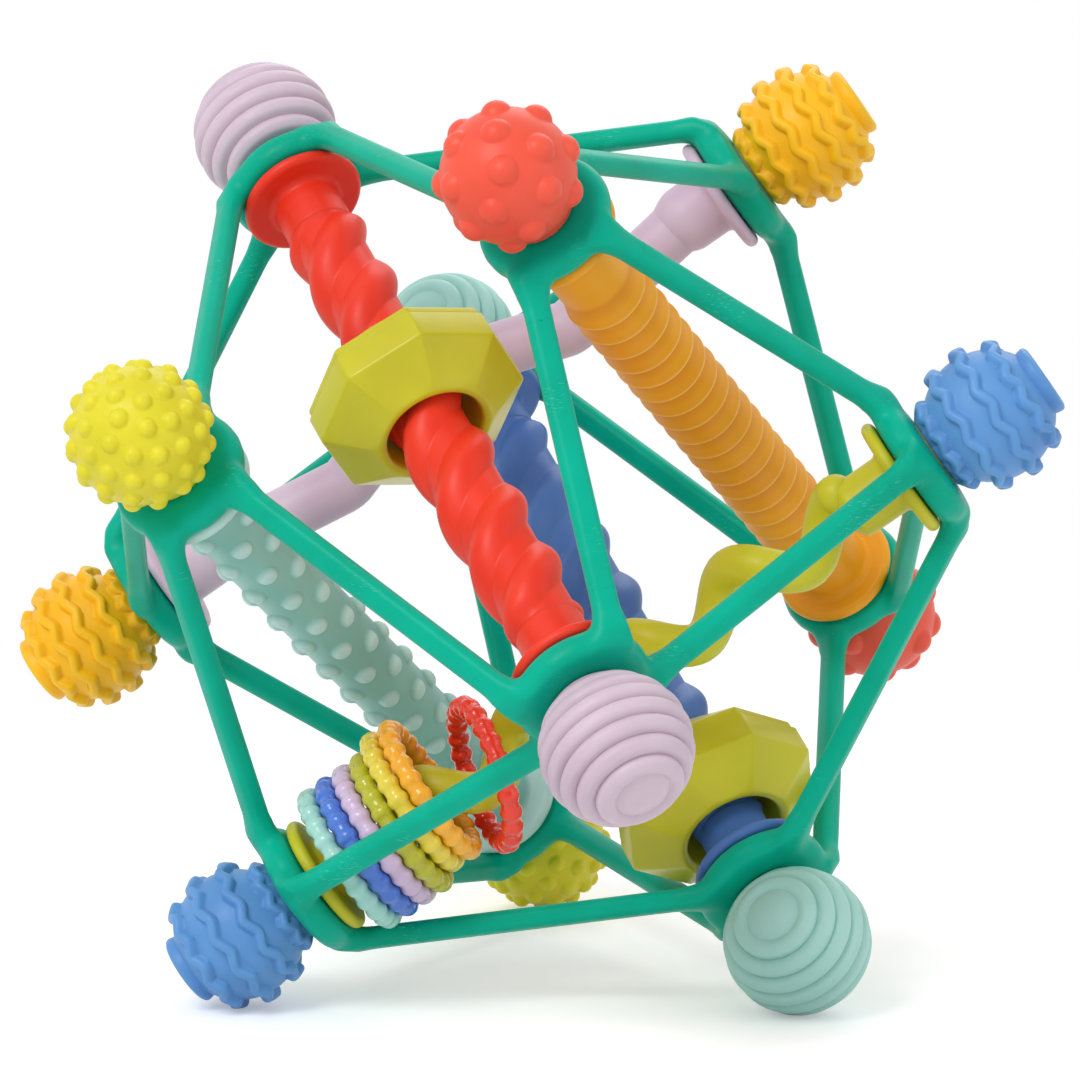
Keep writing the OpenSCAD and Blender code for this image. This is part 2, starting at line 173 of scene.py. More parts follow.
bpy.ops.object.select_all(action="DESELECT")
bpy.ops.mesh.primitive_plane_add(size=FLOOR_SPAN)
floor = bpy.context.object
floor.name = "studio_floor"
paper, tree, output = new_material("studio_paper")
matt = add_node(tree, "ShaderNodeBsdfDiffuse", Color=linear(PAPER))
glow = add_node(tree, "ShaderNodeEmission", Color=(1, 1, 1, 1), Strength=PAPER_GLOW)
near = add_node(tree, "ShaderNodeAddShader", {0: matt.outputs[0], 1: glow.outputs[0]})
plain = add_node(tree, "ShaderNodeEmission", Color=(1, 1, 1, 1), Strength=1.0)
place = add_node(tree, "ShaderNodeTexCoord").outputs["Object"]
reach = add_node(tree, "ShaderNodeVectorMath", {0: place}, {"operation": "LENGTH"}).outputs["Value"]
fade = add_node(tree, "ShaderNodeMapRange", {"Value": reach}, From_Min=FADE_FROM, From_Max=FADE_TO)
seen = add_node(tree, "ShaderNodeMixShader",
                {0: fade.outputs[0], 1: near.outputs[0], 2: plain.outputs[0]})
shown = add_node(tree, "ShaderNodeMixShader",
                 {0: camera_only(tree), 1: matt.outputs[0], 2: seen.outputs[0]})
tree.links.new(shown.outputs[0], output.inputs["Surface"])
floor.data.materials.append(paper)
print(f"paper floor, plain white from {FADE_TO / MM:.0f} mm on")


# %% Soft boxes
def add_lamp(name, place, size, watts):
    """A square soft box that looks at the middle of the toy, with its place and size in metres."""
    lamp = bpy.data.objects.new(name, bpy.data.lights.new(name, "AREA"))
    bpy.context.scene.collection.objects.link(lamp)
    lamp.data.size = size
    lamp.data.energy = watts
    lamp.location = place
    lamp.rotation_euler = (middle - Vector(place)).to_track_quat("-Z", "Y").to_euler()


add_lamp("key_soft_box", place=(-0.55, -0.75, 0.95), size=0.5, watts=7.2)
add_lamp("right_soft_box", place=(0.9, -0.5, 0.5), size=0.7, watts=1.2)
add_lamp("back_soft_box", place=(0.2, 0.9, 0.9), size=0.8, watts=3.0)
print(len(bpy.data.lights), "soft boxes")

# %% [markdown]
# ## Finishes
# Everything on the toy is moulded. The net is a thermoplastic elastomer: satin, a little
# see-through at its edges, and it picks up pale scuffs where it rubs. The rods and balls are
# soft-touch plastic with a fine spark-eroded grain from the mould. The beads are polished ABS, and
# the rings are glossy silicone.

# %% Moulded plastics
# The mould's real grain is about 0.1 mm, too fine to show here, so it is drawn coarser
GRAIN_MM = 0.35
GRAIN_DEPTH = 0.05 * MM
GRAIN_POLISH = 0.06
FLOW_MM = 14.0
FLOW_FADE = (0.35, 0.75)
COAT_ROUGH = 0.12
SKIN_RADIUS = (1.0, 0.8, 0.7)


def per_mm(size):
    """Noise scale on Object coordinates, in metres, for features of this size in millimetres."""
    return 1 / (size * MM)


def moulded(name, colour, deep, rough, grain, coat=0.0, skin=0.0, skin_mm=2.0, ior=1.5, shine=0.3):
    """A moulded plastic: its colour drifts to deep along the melt's flow, and grain roughens its skin."""
    material, tree, output = new_material(name)
    place = add_node(tree, "ShaderNodeTexCoord").outputs["Object"]
    flow = add_node(tree, "ShaderNodeTexNoise", {"Vector": place}, Scale=per_mm(FLOW_MM), Detail=3.0)
    drift = add_node(tree, "ShaderNodeMapRange", {"Value": flow.outputs["Fac"]},
                     From_Min=FLOW_FADE[0], From_Max=FLOW_FADE[1])
    tint = add_node(tree, "ShaderNodeMix", {"Factor": drift.outputs[0]}, {"data_type": "RGBA"})
    tint.inputs[6].default_value = linear(colour)
    tint.inputs[7].default_value = linear(deep)
    speckle = add_node(tree, "ShaderNodeTexNoise", {"Vector": place}, Scale=per_mm(GRAIN_MM), Detail=2.0)
    polish = add_node(tree, "ShaderNodeMapRange", {"Value": speckle.outputs["Fac"]},
                      To_Min=rough - GRAIN_POLISH, To_Max=rough + GRAIN_POLISH)
    bump = add_node(tree, "ShaderNodeBump", {"Height": speckle.outputs["Fac"]},
                    Strength=grain, Distance=GRAIN_DEPTH)
    shader = add_node(tree, "ShaderNodeBsdfPrincipled",
                      {"Base Color": tint.outputs[2], "Roughness": polish.outputs[0],
                       "Normal": bump.outputs[0]},
                      IOR=ior, Specular_IOR_Level=shine, Coat_Weight=coat, Coat_Roughness=COAT_ROUGH,
                      Subsurface_Weight=skin, Subsurface_Scale=skin_mm * MM)
    shader.inputs["Subsurface Radius"].default_value = SKIN_RADIUS
    tree.links.new(shader.outputs[0], output.inputs["Surface"])
    return material, tree, shader


def soft_touch(name, colour, deep):
    """Soft-touch plastic of the rods and balls: satin, with the mould's fine grain."""
    return moulded(name, colour, deep, rough=0.42, grain=0.12, skin=0.12)[0]


def polished_abs(name, colour, deep):
    """Polished ABS of the rattle beads: smooth, with broad soft reflections."""
    return moulded(name, colour, deep, rough=0.34, grain=0.03, coat=0.12)[0]


def glossy_silicone(name, colour, deep):
    """Silicone of the beaded rings: glossy, and light passes a little way into it."""
    return moulded(name, colour, deep, rough=0.22, grain=0.04, coat=0.3, skin=0.3, skin_mm=1.5,
                   ior=1.43, shine=0.5)[0]


print("three kinds of moulded plastic")

# %% [markdown]
# The net is rubbed by small hands. Its scuffs are short pale lines, made by a noise that is
# stretched one way. They show only in a few patches, which a second and coarser noise picks out.


# %% Scuffed elastomer
def tinted(tree, shader, amount, colour):
    """Mixes a colour over a material's base colour by the given amount."""
    over = add_node(tree, "ShaderNodeMix", {"Factor": amount}, {"data_type": "RGBA"})
    tree.links.new(shader.inputs["Base Color"].links[0].from_socket, over.inputs[6])
    over.inputs[7].default_value = linear(colour)
    tree.links.new(over.outputs[2], shader.inputs["Base Color"])


# The noise turns from clean to scuffed, and from clean to rubbed, between these two values
SCUFF_MM = 1.1
SCUFF_FADE = (0.60, 0.68)
SCUFF_MOST = 0.45
SCUFF_STRETCH = (1, 1, 7)
SCUFF_TURN = (0.6, 0.5, 0.3)
RUBBED_MM = 11.0
RUBBED_FADE = (0.58, 0.68)


def scuffed_elastomer(name, colour, deep, scuff):
    """Elastomer of the net: satin, with short pale scuffs in a few rubbed patches."""
    material, tree, shader = moulded(name, colour, deep, rough=0.36, grain=0.1, skin=0.1,
                                     ior=1.42, shine=0.14)
    place = add_node(tree, "ShaderNodeTexCoord").outputs["Object"]
    stretch = add_node(tree, "ShaderNodeMapping", {"Vector": place},
                       Scale=SCUFF_STRETCH, Rotation=SCUFF_TURN)
    lines = add_node(tree, "ShaderNodeTexNoise", {"Vector": stretch.outputs[0]},
                     Scale=per_mm(SCUFF_MM), Detail=4.0)
    patches = add_node(tree, "ShaderNodeTexNoise", {"Vector": place}, Scale=per_mm(RUBBED_MM), Detail=1.0)
    fine = add_node(tree, "ShaderNodeMapRange", {"Value": lines.outputs["Fac"]},
                    From_Min=SCUFF_FADE[0], From_Max=SCUFF_FADE[1], To_Max=SCUFF_MOST)
    where = add_node(tree, "ShaderNodeMapRange", {"Value": patches.outputs["Fac"]},
                     From_Min=RUBBED_FADE[0], From_Max=RUBBED_FADE[1])
    mask = add_node(tree, "ShaderNodeMath", {0: fine.outputs[0], 1: where.outputs[0]},
                    {"operation": "MULTIPLY"})
    tinted(tree, shader, mask.outputs[0], scuff)
    return material


NET = scuffed_elastomer("net_elastomer", "#00b094", "#00a082", "#6fd0bd")
print("elastomer with scuffs of", SCUFF_MM, "mm")

# %% [markdown]
# On two rods light and shade are painted into the colour. The orange rod has a painted highlight
# on the thin lips of its cups, where light shines through, and painted shade in their roots. The
# mint rod has a painted highlight on its domes, which makes them paler than the grip. Both follow
# the distance from the rod's middle line, so no pattern is drawn on the surface. Both
# tints follow the distance from the rod's middle line, so nothing has to be painted by hand.


# %% Rods with painted light and shade
def from_rod(tree, rod):
    """Distance from a rod's middle line and height along it, in metres, at the shaded point."""
    place = add_node(tree, "ShaderNodeTexCoord").outputs["Object"]
    away = add_node(tree, "ShaderNodeVectorMath", {0: place}, {"operation": "SUBTRACT"})
    away.inputs[1].default_value = rod_frame(rod).translation
    height = add_node(tree, "ShaderNodeVectorMath", {0: away.outputs[0]}, {"operation": "DOT_PRODUCT"})
    height.inputs[1].default_value = rod_frame(rod).col[2][:3]
    across = add_node(tree, "ShaderNodeVectorMath", {0: away.outputs[0]}, {"operation": "CROSS_PRODUCT"})
    across.inputs[1].default_value = rod_frame(rod).col[2][:3]
    far = add_node(tree, "ShaderNodeVectorMath", {0: across.outputs[0]}, {"operation": "LENGTH"})
    return far.outputs["Value"], height.outputs["Value"]


# Painted light and shade fade in between these two heights or radii on a rod, in millimetres, to their
# most
CUPS_STOP = (39.5, 39.0)
# Painted shade in the roots of the orange rod's cups
ROOT_SHADE_R = (6.0, 5.5)
ROOT_SHADE_MOST = 0.55
# Painted highlight on the lips of the orange rod's cups
LIP_HIGHLIGHT_R = (6.28, 6.39)
LIP_HIGHLIGHT_MOST = 0.6
# Painted highlight on the mint rod's domes
DOME_HIGHLIGHT_R = (5.35, 6.1)
DOME_HIGHLIGHT_MOST = 0.75


def painted_cup_light(name, colour, deep, lip, root):
    """Soft-touch orange plastic: painted shade in the cups' roots, painted highlight at their lips."""
    material, tree, shader = moulded(name, colour, deep, rough=0.42, grain=0.12, skin=0.06)
    far, height = from_rod(tree, "orange")
    along_rod = add_node(tree, "ShaderNodeMath", {0: height}, {"operation": "ABSOLUTE"})
    grip = add_node(tree, "ShaderNodeMapRange", {"Value": along_rod.outputs[0]},
                    From_Min=CUPS_STOP[0] * MM, From_Max=CUPS_STOP[1] * MM)
    # Painted shade in the roots of the cups
    low = add_node(tree, "ShaderNodeMapRange", {"Value": far},
                   From_Min=ROOT_SHADE_R[0] * MM, From_Max=ROOT_SHADE_R[1] * MM, To_Max=ROOT_SHADE_MOST)
    # Painted highlight on the lips of the cups
    edge = add_node(tree, "ShaderNodeMapRange", {"Value": far},
                    From_Min=LIP_HIGHLIGHT_R[0] * MM, From_Max=LIP_HIGHLIGHT_R[1] * MM, To_Max=LIP_HIGHLIGHT_MOST)
    for part, shade in ((low, root), (edge, lip)):
        here = add_node(tree, "ShaderNodeMath", {0: part.outputs[0], 1: grip.outputs[0]},
                        {"operation": "MULTIPLY"})
        tinted(tree, shader, here.outputs[0], shade)
    return material


def painted_dome_highlight(name, colour, deep, dot):
    """Milky mint rod plastic, with a painted highlight on its domes, where light shines in from all
    sides.
    """
    material, tree, shader = moulded(name, colour, deep, rough=0.36, grain=0.08, skin=0.2)
    far = from_rod(tree, "mint")[0]
    # Painted highlight on the domes
    top = add_node(tree, "ShaderNodeMapRange", {"Value": far},
                   From_Min=DOME_HIGHLIGHT_R[0] * MM, From_Max=DOME_HIGHLIGHT_R[1] * MM, To_Max=DOME_HIGHLIGHT_MOST)
    tinted(tree, shader, top.outputs[0], dot)
    return material


print("cups tinted from", LIP_HIGHLIGHT_R[0], "mm outwards, domes from", DOME_HIGHLIGHT_R[0], "mm")

# %% [markdown]
# Each piece has two close colours, so that the plastic isn't flat: the second one is a little
# deeper and shows where the melt flowed last.

# %% Colours of all pieces
ROD_FINISH = {
    "red": soft_touch("red_soft_plastic", "#ef3b24", "#e42e18"),
    "blue": soft_touch("blue_soft_plastic", "#507ac0", "#456bb0"),
    # The orange rod's lip colour is a painted highlight, and its root colour is painted shade
    "orange": painted_cup_light("orange_plastic_painted_light", "#f8aa1d", "#ec9915", lip="#ffd27c", root="#dd7d0e"),
    # The mint rod's last colour is a painted highlight on its domes
    "mint": painted_dome_highlight("mint_plastic_painted_highlight", "#95cbc1", "#88beb4", "#cdebe7"),
    "lilac": soft_touch("lilac_soft_plastic", "#d6bfd2", "#caafc6"),
    "lime": soft_touch("lime_soft_plastic", "#cac52a", "#bab421"),
}
BALL_FINISH = {
    "lilac": soft_touch("lilac_ball_plastic", "#d0bdcb", "#c3aebf"),
    "mint": soft_touch("mint_ball_plastic", "#a8d5cd", "#98c8bf"),
    "coral": soft_touch("coral_ball_plastic", "#ec5a43", "#e34d37"),
    "yellow": soft_touch("yellow_ball_plastic", "#e2d72e", "#d3c822"),
    "orange": soft_touch("orange_ball_plastic", "#f7c01a", "#efb212"),
    "blue": soft_touch("blue_ball_plastic", "#6099d3", "#5388c5"),
}
RING_FINISH = {
    "mint": glossy_silicone("mint_silicone", "#a9ddd2", "#97d2c6"),
    "blue": glossy_silicone("blue_silicone", "#4f7edb", "#426fcb"),
    "lilac": glossy_silicone("lilac_silicone", "#d5bedd", "#c8aed2"),
    "olive": glossy_silicone("olive_silicone", "#bfbd2b", "#b0ad20"),
    "yellow": glossy_silicone("yellow_silicone", "#ecd849", "#e2c937"),
    "orange": glossy_silicone("orange_silicone", "#feb92e", "#f7ab20"),
    "red": glossy_silicone("red_silicone", "#ef3c26", "#e22d18"),
}
BEAD_FINISH = polished_abs("olive_polished_plastic", "#cec623", "#c0b81c")
PELLET_FINISH = polished_abs("white_pellet_plastic", "#e8e8e4", "#dcdcd6")
print(len(bpy.data.materials), "materials")

# %% [markdown]
# ## Modelling tools
# Most pieces start as a line that is drawn point by point and spun round the rod's axis, as on a
# lathe. A few helpers keep the steps the same for every piece: draw, spin, join, put in place and
# finish.


# %% Draw a line and spin it
WELD = 0.002 * MM


def only(piece):
    """Selects one piece alone and makes it active."""
    if bpy.context.object and bpy.context.object.mode != "OBJECT":
        bpy.ops.object.mode_set(mode="OBJECT")
    bpy.ops.object.select_all(action="DESELECT")
    if piece:
        piece.select_set(True)
        bpy.context.view_layer.objects.active = piece


def trace(name, points):
    """Draws a line through points (x, y, z), in millimetres, by extruding a single vertex."""
    only(None)
    bpy.ops.mesh.primitive_plane_add(size=MM, location=Vector(points[0]) * MM)
    piece = bpy.context.object
    piece.name = name
    bpy.ops.object.mode_set(mode="EDIT")
    bpy.ops.mesh.merge(type="CENTER")
    for here, there in zip(points, points[1:]):
        step = (Vector(there) - Vector(here)) * MM
        bpy.ops.mesh.extrude_region_move(TRANSFORM_OT_translate={"value": step})
    bpy.ops.object.mode_set(mode="OBJECT")
    bpy.ops.object.transform_apply(location=True)
    return piece


def close_up(piece):
    """Merges the doubles of a piece and turns its faces outwards."""
    only(piece)
    bpy.ops.object.mode_set(mode="EDIT")
    bpy.ops.mesh.select_all(action="SELECT")
    bpy.ops.mesh.remove_doubles(threshold=WELD)
    bpy.ops.mesh.normals_make_consistent(inside=False)
    bpy.ops.object.mode_set(mode="OBJECT")


def lathe(name, outline, steps=96):
    """Spins an outline of (radius, height) in millimetres about the z axis."""
    piece = trace(name, [(r, 0, z) for r, z in outline])
    only(piece)
    bpy.ops.object.mode_set(mode="EDIT")
    bpy.ops.mesh.select_all(action="SELECT")
    bpy.ops.mesh.spin(steps=steps, angle=math.tau, center=(0, 0, 0), axis=(0, 0, 1))
    close_up(piece)
    return piece


def arc(x, z, r, start, stop, count):
    """Points on an arc about (x, z), with its angles in degrees."""
    turns = [math.radians(start + (stop - start) * n / count) for n in range(count + 1)]
    return [(x + r * math.cos(a), z + r * math.sin(a)) for a in turns]


def tube(name, points, d, sides=24):
    """A round bar along points: the drawn line becomes a curve with thickness and then a mesh."""
    piece = trace(name, points)
    only(piece)
    bpy.ops.object.convert(target="CURVE")
    piece = bpy.context.object
    piece.data.bevel_depth = d / 2 * MM
    piece.data.bevel_resolution = sides // 4
    piece.data.use_fill_caps = True
    bpy.ops.object.convert(target="MESH")
    piece = bpy.context.object
    close_up(piece)
    return piece


print("drawing tools ready")


# %% Join, copy, place and shape
def join(pieces):
    """Joins pieces into the first one."""
    only(pieces[0])
    for piece in pieces:
        piece.select_set(True)
    bpy.ops.object.join()
    return pieces[0]


def copy_of(piece, name):
    """A copy with its own mesh."""
    twin = piece.copy()
    twin.data = piece.data.copy()
    twin.name = name
    bpy.context.scene.collection.objects.link(twin)
    return twin


def put(piece, place, finish, smooth=35):
    """Moves the finished mesh to its place, leaves the object at the origin, and gives it its finish."""
    piece.data.transform(place)
    if place.determinant() < 0:
        piece.data.flip_normals()
    piece.data.materials.clear()
    piece.data.materials.append(finish)
    only(piece)
    bpy.ops.object.shade_smooth_by_angle(angle=math.radians(smooth))
    return piece


def shape_by(piece, rule):
    """Moves every vertex: rule takes and returns an array of points in millimetres."""
    flat = np.empty(len(piece.data.vertices) * 3)
    piece.data.vertices.foreach_get("co", flat)
    points = rule(flat.reshape(-1, 3) / MM)
    piece.data.vertices.foreach_set("co", points.reshape(-1) * MM)
    piece.data.update()


def apply_modifier(piece, kind, **settings):
    """Adds a modifier with its settings and applies it."""
    only(piece)
    modifier = piece.modifiers.new(kind.lower(), kind)
    for name, value in settings.items():
        setattr(modifier, name, value)
    bpy.ops.object.modifier_apply(modifier=modifier.name)


print("shaping tools ready")

# %% [markdown]
# ## The elastic net
# On the real toy the net is moulded in one piece: twelve eyes, which hold the rods' necks, and
# twenty-four straps. An eye flares softly into its four straps. It is modelled once, as a ring and
# four flared stubs that are remeshed into one skin and smoothed, and then copied and mirrored to
# the other eyes.

# %% Sizes of the net
EYE_REACH = 55.0
EYE_D = 20.4
EYE_T = 4.8
EYE_ROUND = 1.9
EYE_HUG = 0.6
EYE_RISE = 0.3
NECK_D = 10.0
STRAP_W = 3.9
STRAP_T = 3.2
STRAP_ROUND = 1.3
STUB_L = 7.0
LUG_INSET = 0.3
LUG_R = EYE_D / 2 - LUG_INSET
LUG_RISE = 0.6
OUTER_LUG = math.radians(54)
INNER_LUG = math.radians(128)
cube = Matrix(axes).transposed().to_4x4()
cube.translation = middle


def along(k, p):
    """A point of the frame of axis k, in the frame of the three axes."""
    return Vector([(p[2], p[0], p[1]), (p[1], p[2], p[0]), p][k])


def strap_ends(k, s, e, t):
    """The strap from the outer side of eye (k, s, e) to the inner side of eye (k + 1, t, s)."""
    start = along(k, (s * (SIDE + LUG_R * math.cos(OUTER_LUG)), t * LUG_R * math.sin(OUTER_LUG),
                      e * (EYE_REACH + LUG_RISE)))
    stop = along((k + 1) % 3, (t * (SIDE + LUG_R * math.cos(INNER_LUG)), e * LUG_R * math.sin(INNER_LUG),
                               s * (EYE_REACH + LUG_RISE)))
    return start, stop


def strap_frame(start, stop):
    """Placement that takes z along the strap and y out of the toy, in millimetres."""
    z = (stop - start).normalized()
    out = start + stop
    y = (out - out.dot(z) * z).normalized()
    place = Matrix((y.cross(z), y, z)).transposed().to_4x4()
    place.translation = start
    return place


STRAPS = [(k, s, e, t) for k in range(3) for s in (1, -1) for e in (1, -1) for t in (1, -1)]
strap_length = (strap_ends(*STRAPS[0])[1] - strap_ends(*STRAPS[0])[0]).length
print(len(STRAPS), "straps, each", round(strap_length, 1), "mm from eye to eye")


# %% Model a strap's section
CORNER_STEPS = 5


def strap_section(name, wide=1.0, thick=1.0):
    """The strap's rounded rectangle as one face in the xy plane."""
    x, y, r = wide * STRAP_W / 2 - STRAP_ROUND, thick * STRAP_T / 2 - STRAP_ROUND, STRAP_ROUND
    corners = arc(x, y, r, 0, 90, CORNER_STEPS) + arc(-x, y, r, 90, 180, CORNER_STEPS)
    corners += arc(-x, -y, r, 180, 270, CORNER_STEPS) + arc(x, -y, r, 270, 360, CORNER_STEPS)
    piece = trace(name, [(x, y, 0) for x, y in corners])
    only(piece)
    bpy.ops.object.mode_set(mode="EDIT")
    bpy.ops.mesh.select_all(action="SELECT")
    bpy.ops.mesh.edge_face_add()
    return piece


def grow(step, wide=1.0, thick=1.0):
    """Extrudes the selected section along z and resizes its new end."""
    bpy.ops.mesh.extrude_region_move(TRANSFORM_OT_translate={"value": (0, 0, step * MM)})
    if wide != 1.0 or thick != 1.0:
        bpy.ops.transform.resize(value=(wide, thick, 1))


print("strap section of", STRAP_W, "by", STRAP_T, "mm")

# %% Ring and stubs of an eye
# Each step of the flare: how far it goes, and what it leaves of the width and the thickness
STUB_FLARE = ((1.6, 0.93, 0.96), (1.5, 0.89, 0.94), (1.5, 0.88, 0.94), (1.5, 0.9, 0.96),
              (1.5, 0.94, 0.98), (2.0, 0.97, 1.0), (3.0, 1.0, 1.0))
STUB_ROOT = 1.8
ROOT_WIDE = 1.7
ROOT_THICK = 1.3


def eye_stub(start, stop):
    """A flared stub: wide where it leaves the eye, and about the strap's own section at its end."""
    stub = strap_section("stub", ROOT_WIDE, ROOT_THICK)
    for step, wide, thick in STUB_FLARE:
        grow(step, wide, thick)
    close_up(stub)
    root = strap_frame(start, stop) @ Matrix.Translation((0, 0, -STUB_ROOT))
    stub.data.transform(Matrix.Scale(MM, 4) @ root @ Matrix.Scale(1 / MM, 4))
    return stub


def eye_ring():
    """The ring round the neck, with its edges well rounded."""
    inner, outer, half = NECK_D / 2 - EYE_HUG, EYE_D / 2 - EYE_ROUND, EYE_T / 2
    section = [(inner, -half)] + arc(outer, EYE_ROUND - half, EYE_ROUND, -90, 0, 6)
    section += arc(outer, half - EYE_ROUND, EYE_ROUND, 0, 90, 6)
    section += [(inner, half + EYE_RISE), (inner, -half)]
    ring = lathe("eye", section, steps=64)
    ring.data.transform(Matrix.Translation((SIDE * MM, 0, EYE_REACH * MM)))
    return ring


print("stubs of", round(sum(step for step, wide, thick in STUB_FLARE), 1), "mm")

# %% [markdown]
# The skin over ring and stubs is shaped by two rules that move its vertices. One rounds the eye's
# outer face down to the steep straps. The other brings the end of each stub to the strap's exact
# section, so that no step shows where the straps go on.

# %% Shape the skin of an eye
TOP_FLAT_R = 7.4
TOP_ROUND = 5.0
TOP_BEND = 4.3
FIT_FROM = 3.0
FIT_BY = 6.4
FIT_ROUNDS = 4
FIT_CORE_R = 0.3


def round_top(points):
    """Keeps the stubs under the eye's outer face, and rounds that face down to the two steep straps."""
    far = np.clip(np.hypot(points[:, 0] - SIDE, points[:, 1]) - TOP_FLAT_R, 0, TOP_BEND)
    steep = np.clip((points[:, 0] - SIDE) / TOP_FLAT_R, 0, 1)
    drop = TOP_ROUND - np.sqrt(TOP_ROUND ** 2 - far ** 2)
    rounded = points.copy()
    rounded[:, 2] = np.minimum(points[:, 2], EYE_REACH + EYE_T / 2 + EYE_RISE - steep * drop)
    return rounded


def fit_to_strap(start, stop):
    """A rule that brings the end of a stub to the strap's own section."""
    place = np.array(strap_frame(start, stop))
    core = np.array([STRAP_W, STRAP_T]) / 2 - STRAP_ROUND

    def fit(points):
        local = (points - place[:3, 3]) @ place[:3, :3]
        flat = local[:, :2]
        size = np.hypot(flat[:, 0], flat[:, 1])
        target = flat.copy()
        for _ in range(FIT_ROUNDS):
            beyond = np.abs(target) - core
            off = np.hypot(*np.maximum(beyond, 0).T) + np.minimum(beyond.max(axis=1), 0) - STRAP_ROUND
            reach = np.maximum(np.hypot(target[:, 0], target[:, 1]), FIT_CORE_R)
            target = target * (1 - off / reach)[:, None]
        share = np.clip((local[:, 2] - FIT_FROM) / (FIT_BY - FIT_FROM), 0, 1)
        on_stub = (size < STRAP_W) & (local[:, 2] < 2 * STUB_L)
        share = np.where(on_stub, share * share * (3 - 2 * share), 0)
        local[:, :2] = flat + share[:, None] * (target - flat)
        return local @ place[:3, :3].T + place[:3, 3]

    return fit


print("stubs fit the straps from", FIT_BY, "mm on")

# %% Model one eye and copy it
SKIN_VOXEL = 0.42
SKIN_SOFT = 40


def model_eye():
    """The upper eye of the lilac rod: ring and stubs under one skin, with the stubs cut off square."""
    k, s, e = 2, 1, 1
    pairs = [strap_ends(k, s, e, t) for t in (1, -1)]
    pairs += [strap_ends((k + 2) % 3, e, t, s)[::-1] for t in (1, -1)]
    eye = join([eye_ring()] + [eye_stub(*pair) for pair in pairs])
    apply_modifier(eye, "REMESH", mode="VOXEL", voxel_size=SKIN_VOXEL * MM)
    shape_by(eye, round_top)
    apply_modifier(eye, "REMESH", mode="VOXEL", voxel_size=SKIN_VOXEL * MM)
    apply_modifier(eye, "SMOOTH", factor=0.5, iterations=SKIN_SOFT)
    for pair in pairs:
        shape_by(eye, fit_to_strap(*pair))
    for start, stop in pairs:
        only(eye)
        bpy.ops.object.mode_set(mode="EDIT")
        bpy.ops.mesh.select_all(action="SELECT")
        way = (stop - start).normalized()
        bpy.ops.mesh.bisect(plane_co=(start + STUB_L * way) * MM, plane_no=way,
                            use_fill=True, clear_outer=True)
    bpy.ops.mesh.select_all(action="SELECT")
    bpy.ops.mesh.fill_holes(sides=0)
    close_up(eye)
    return eye


def eye_place(k, s, e):
    """Takes the modelled eye, of axis 2, to eye (k, s, e): mirrored in x and z, and turned to axis k."""
    turn = Matrix.Rotation(math.radians(120 * (k + 1)), 4, Vector((1, 1, 1)).normalized())
    return cube @ turn @ Matrix.Diagonal((s, 1, e, 1))


master_eye = model_eye()
for i, rod in enumerate(RODS):
    for end, e in ENDS.items():
        eye = copy_of(master_eye, f"{rod}_eye_{end}_skin")
        put(eye, eye_place(i // 2, 1 if i % 2 == 0 else -1, e), NET, smooth=60)
        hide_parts(f"{rod}_eye_{end}")
        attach(eye, f"{rod}_press" if i < 2 else "net")
bpy.data.objects.remove(master_eye)
print("twelve eyes of", len(eye.data.polygons), "faces")

# %% [markdown]
# The straps are drawn tight, so each is a straight bar. It starts inside the eye's flared stub,
# which hides the joint. A strap that ends on an eye of the red or blue rod stretches when that rod
# is squeezed in. Here it is only baked in place, and is not attached to the net or the moving eye.

# %% Model the straps
STRAP_STEPS = 16
STRAP_LAP = 2.5
STRAP_TUCK = 0.9


def strap_group(k, s, t):
    """Which rod's eyes a strap stretches with: red, blue, or neither."""
    if k == 1:
        return "side"
    pressed = s if k == 0 else t
    return "red" if pressed == 1 else "blue"


for number, (k, s, e, t) in enumerate(STRAPS):
    start, stop = strap_ends(k, s, e, t)
    free = (stop - start).length - 2 * STUB_L
    strap = strap_section(f"strap_{number + 1:02d}")
    bpy.ops.transform.resize(value=(STRAP_TUCK, STRAP_TUCK, 1))
    grow(STRAP_LAP, 1 / STRAP_TUCK, 1 / STRAP_TUCK)
    for _ in range(STRAP_STEPS):
        grow(free / STRAP_STEPS)
    grow(STRAP_LAP, STRAP_TUCK, STRAP_TUCK)
    close_up(strap)
    group = strap_group(k, s, t)
    place = cube @ Matrix.Scale(MM, 4) @ strap_frame(start, stop)
    lapped = place @ Matrix.Translation((0, 0, STUB_L - STRAP_LAP))
    put(strap, lapped @ Matrix.Scale(1 / MM, 4), NET, smooth=60)
    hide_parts(f"{group}_straps")
    if group == "side":
        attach(strap, "net")
    else:
        near, far = place @ Vector((0, 0, STUB_L)), place @ Vector((0, 0, STUB_L + free))
        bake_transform(strap)
print("straps of", len(strap.data.polygons), "faces")

# %% [markdown]
# ## The rods
# Each rod is one soft moulding: a grip in the middle, and at each end a flange inside the eye and a
# neck that turns in the eye. The ends are the same on all six. The grips differ, so each has its
# own way: spun, wound, swept along a line, or covered with bumps.

# %% Rod ends
FLANGE_D = 18.6
FLANGE_T = 2.0
END_PLAY = 0.15
SEAT_GAP = 0.3
END_FILLET = 1.2
NOSE_STEPS = 8
FLANGE_FACE = EYE_REACH - EYE_T / 2 - END_PLAY - FLANGE_T
SEAT_FACE = EYE_REACH + EYE_T / 2 + SEAT_GAP


def end_outline(grip_r):
    """Outline of the upper rod end, from the grip's surface to the middle of the neck's end."""
    rim = FLANGE_D / 2 - FLANGE_T / 2
    line = arc(grip_r + END_FILLET, FLANGE_FACE - END_FILLET, END_FILLET, 180, 90, 6)
    line += arc(rim, FLANGE_FACE + FLANGE_T / 2, FLANGE_T / 2, -90, 90, 10)
    return line + [(NECK_D / 2, FLANGE_FACE + FLANGE_T), (NECK_D / 2, SEAT_FACE), (0, SEAT_FACE)]


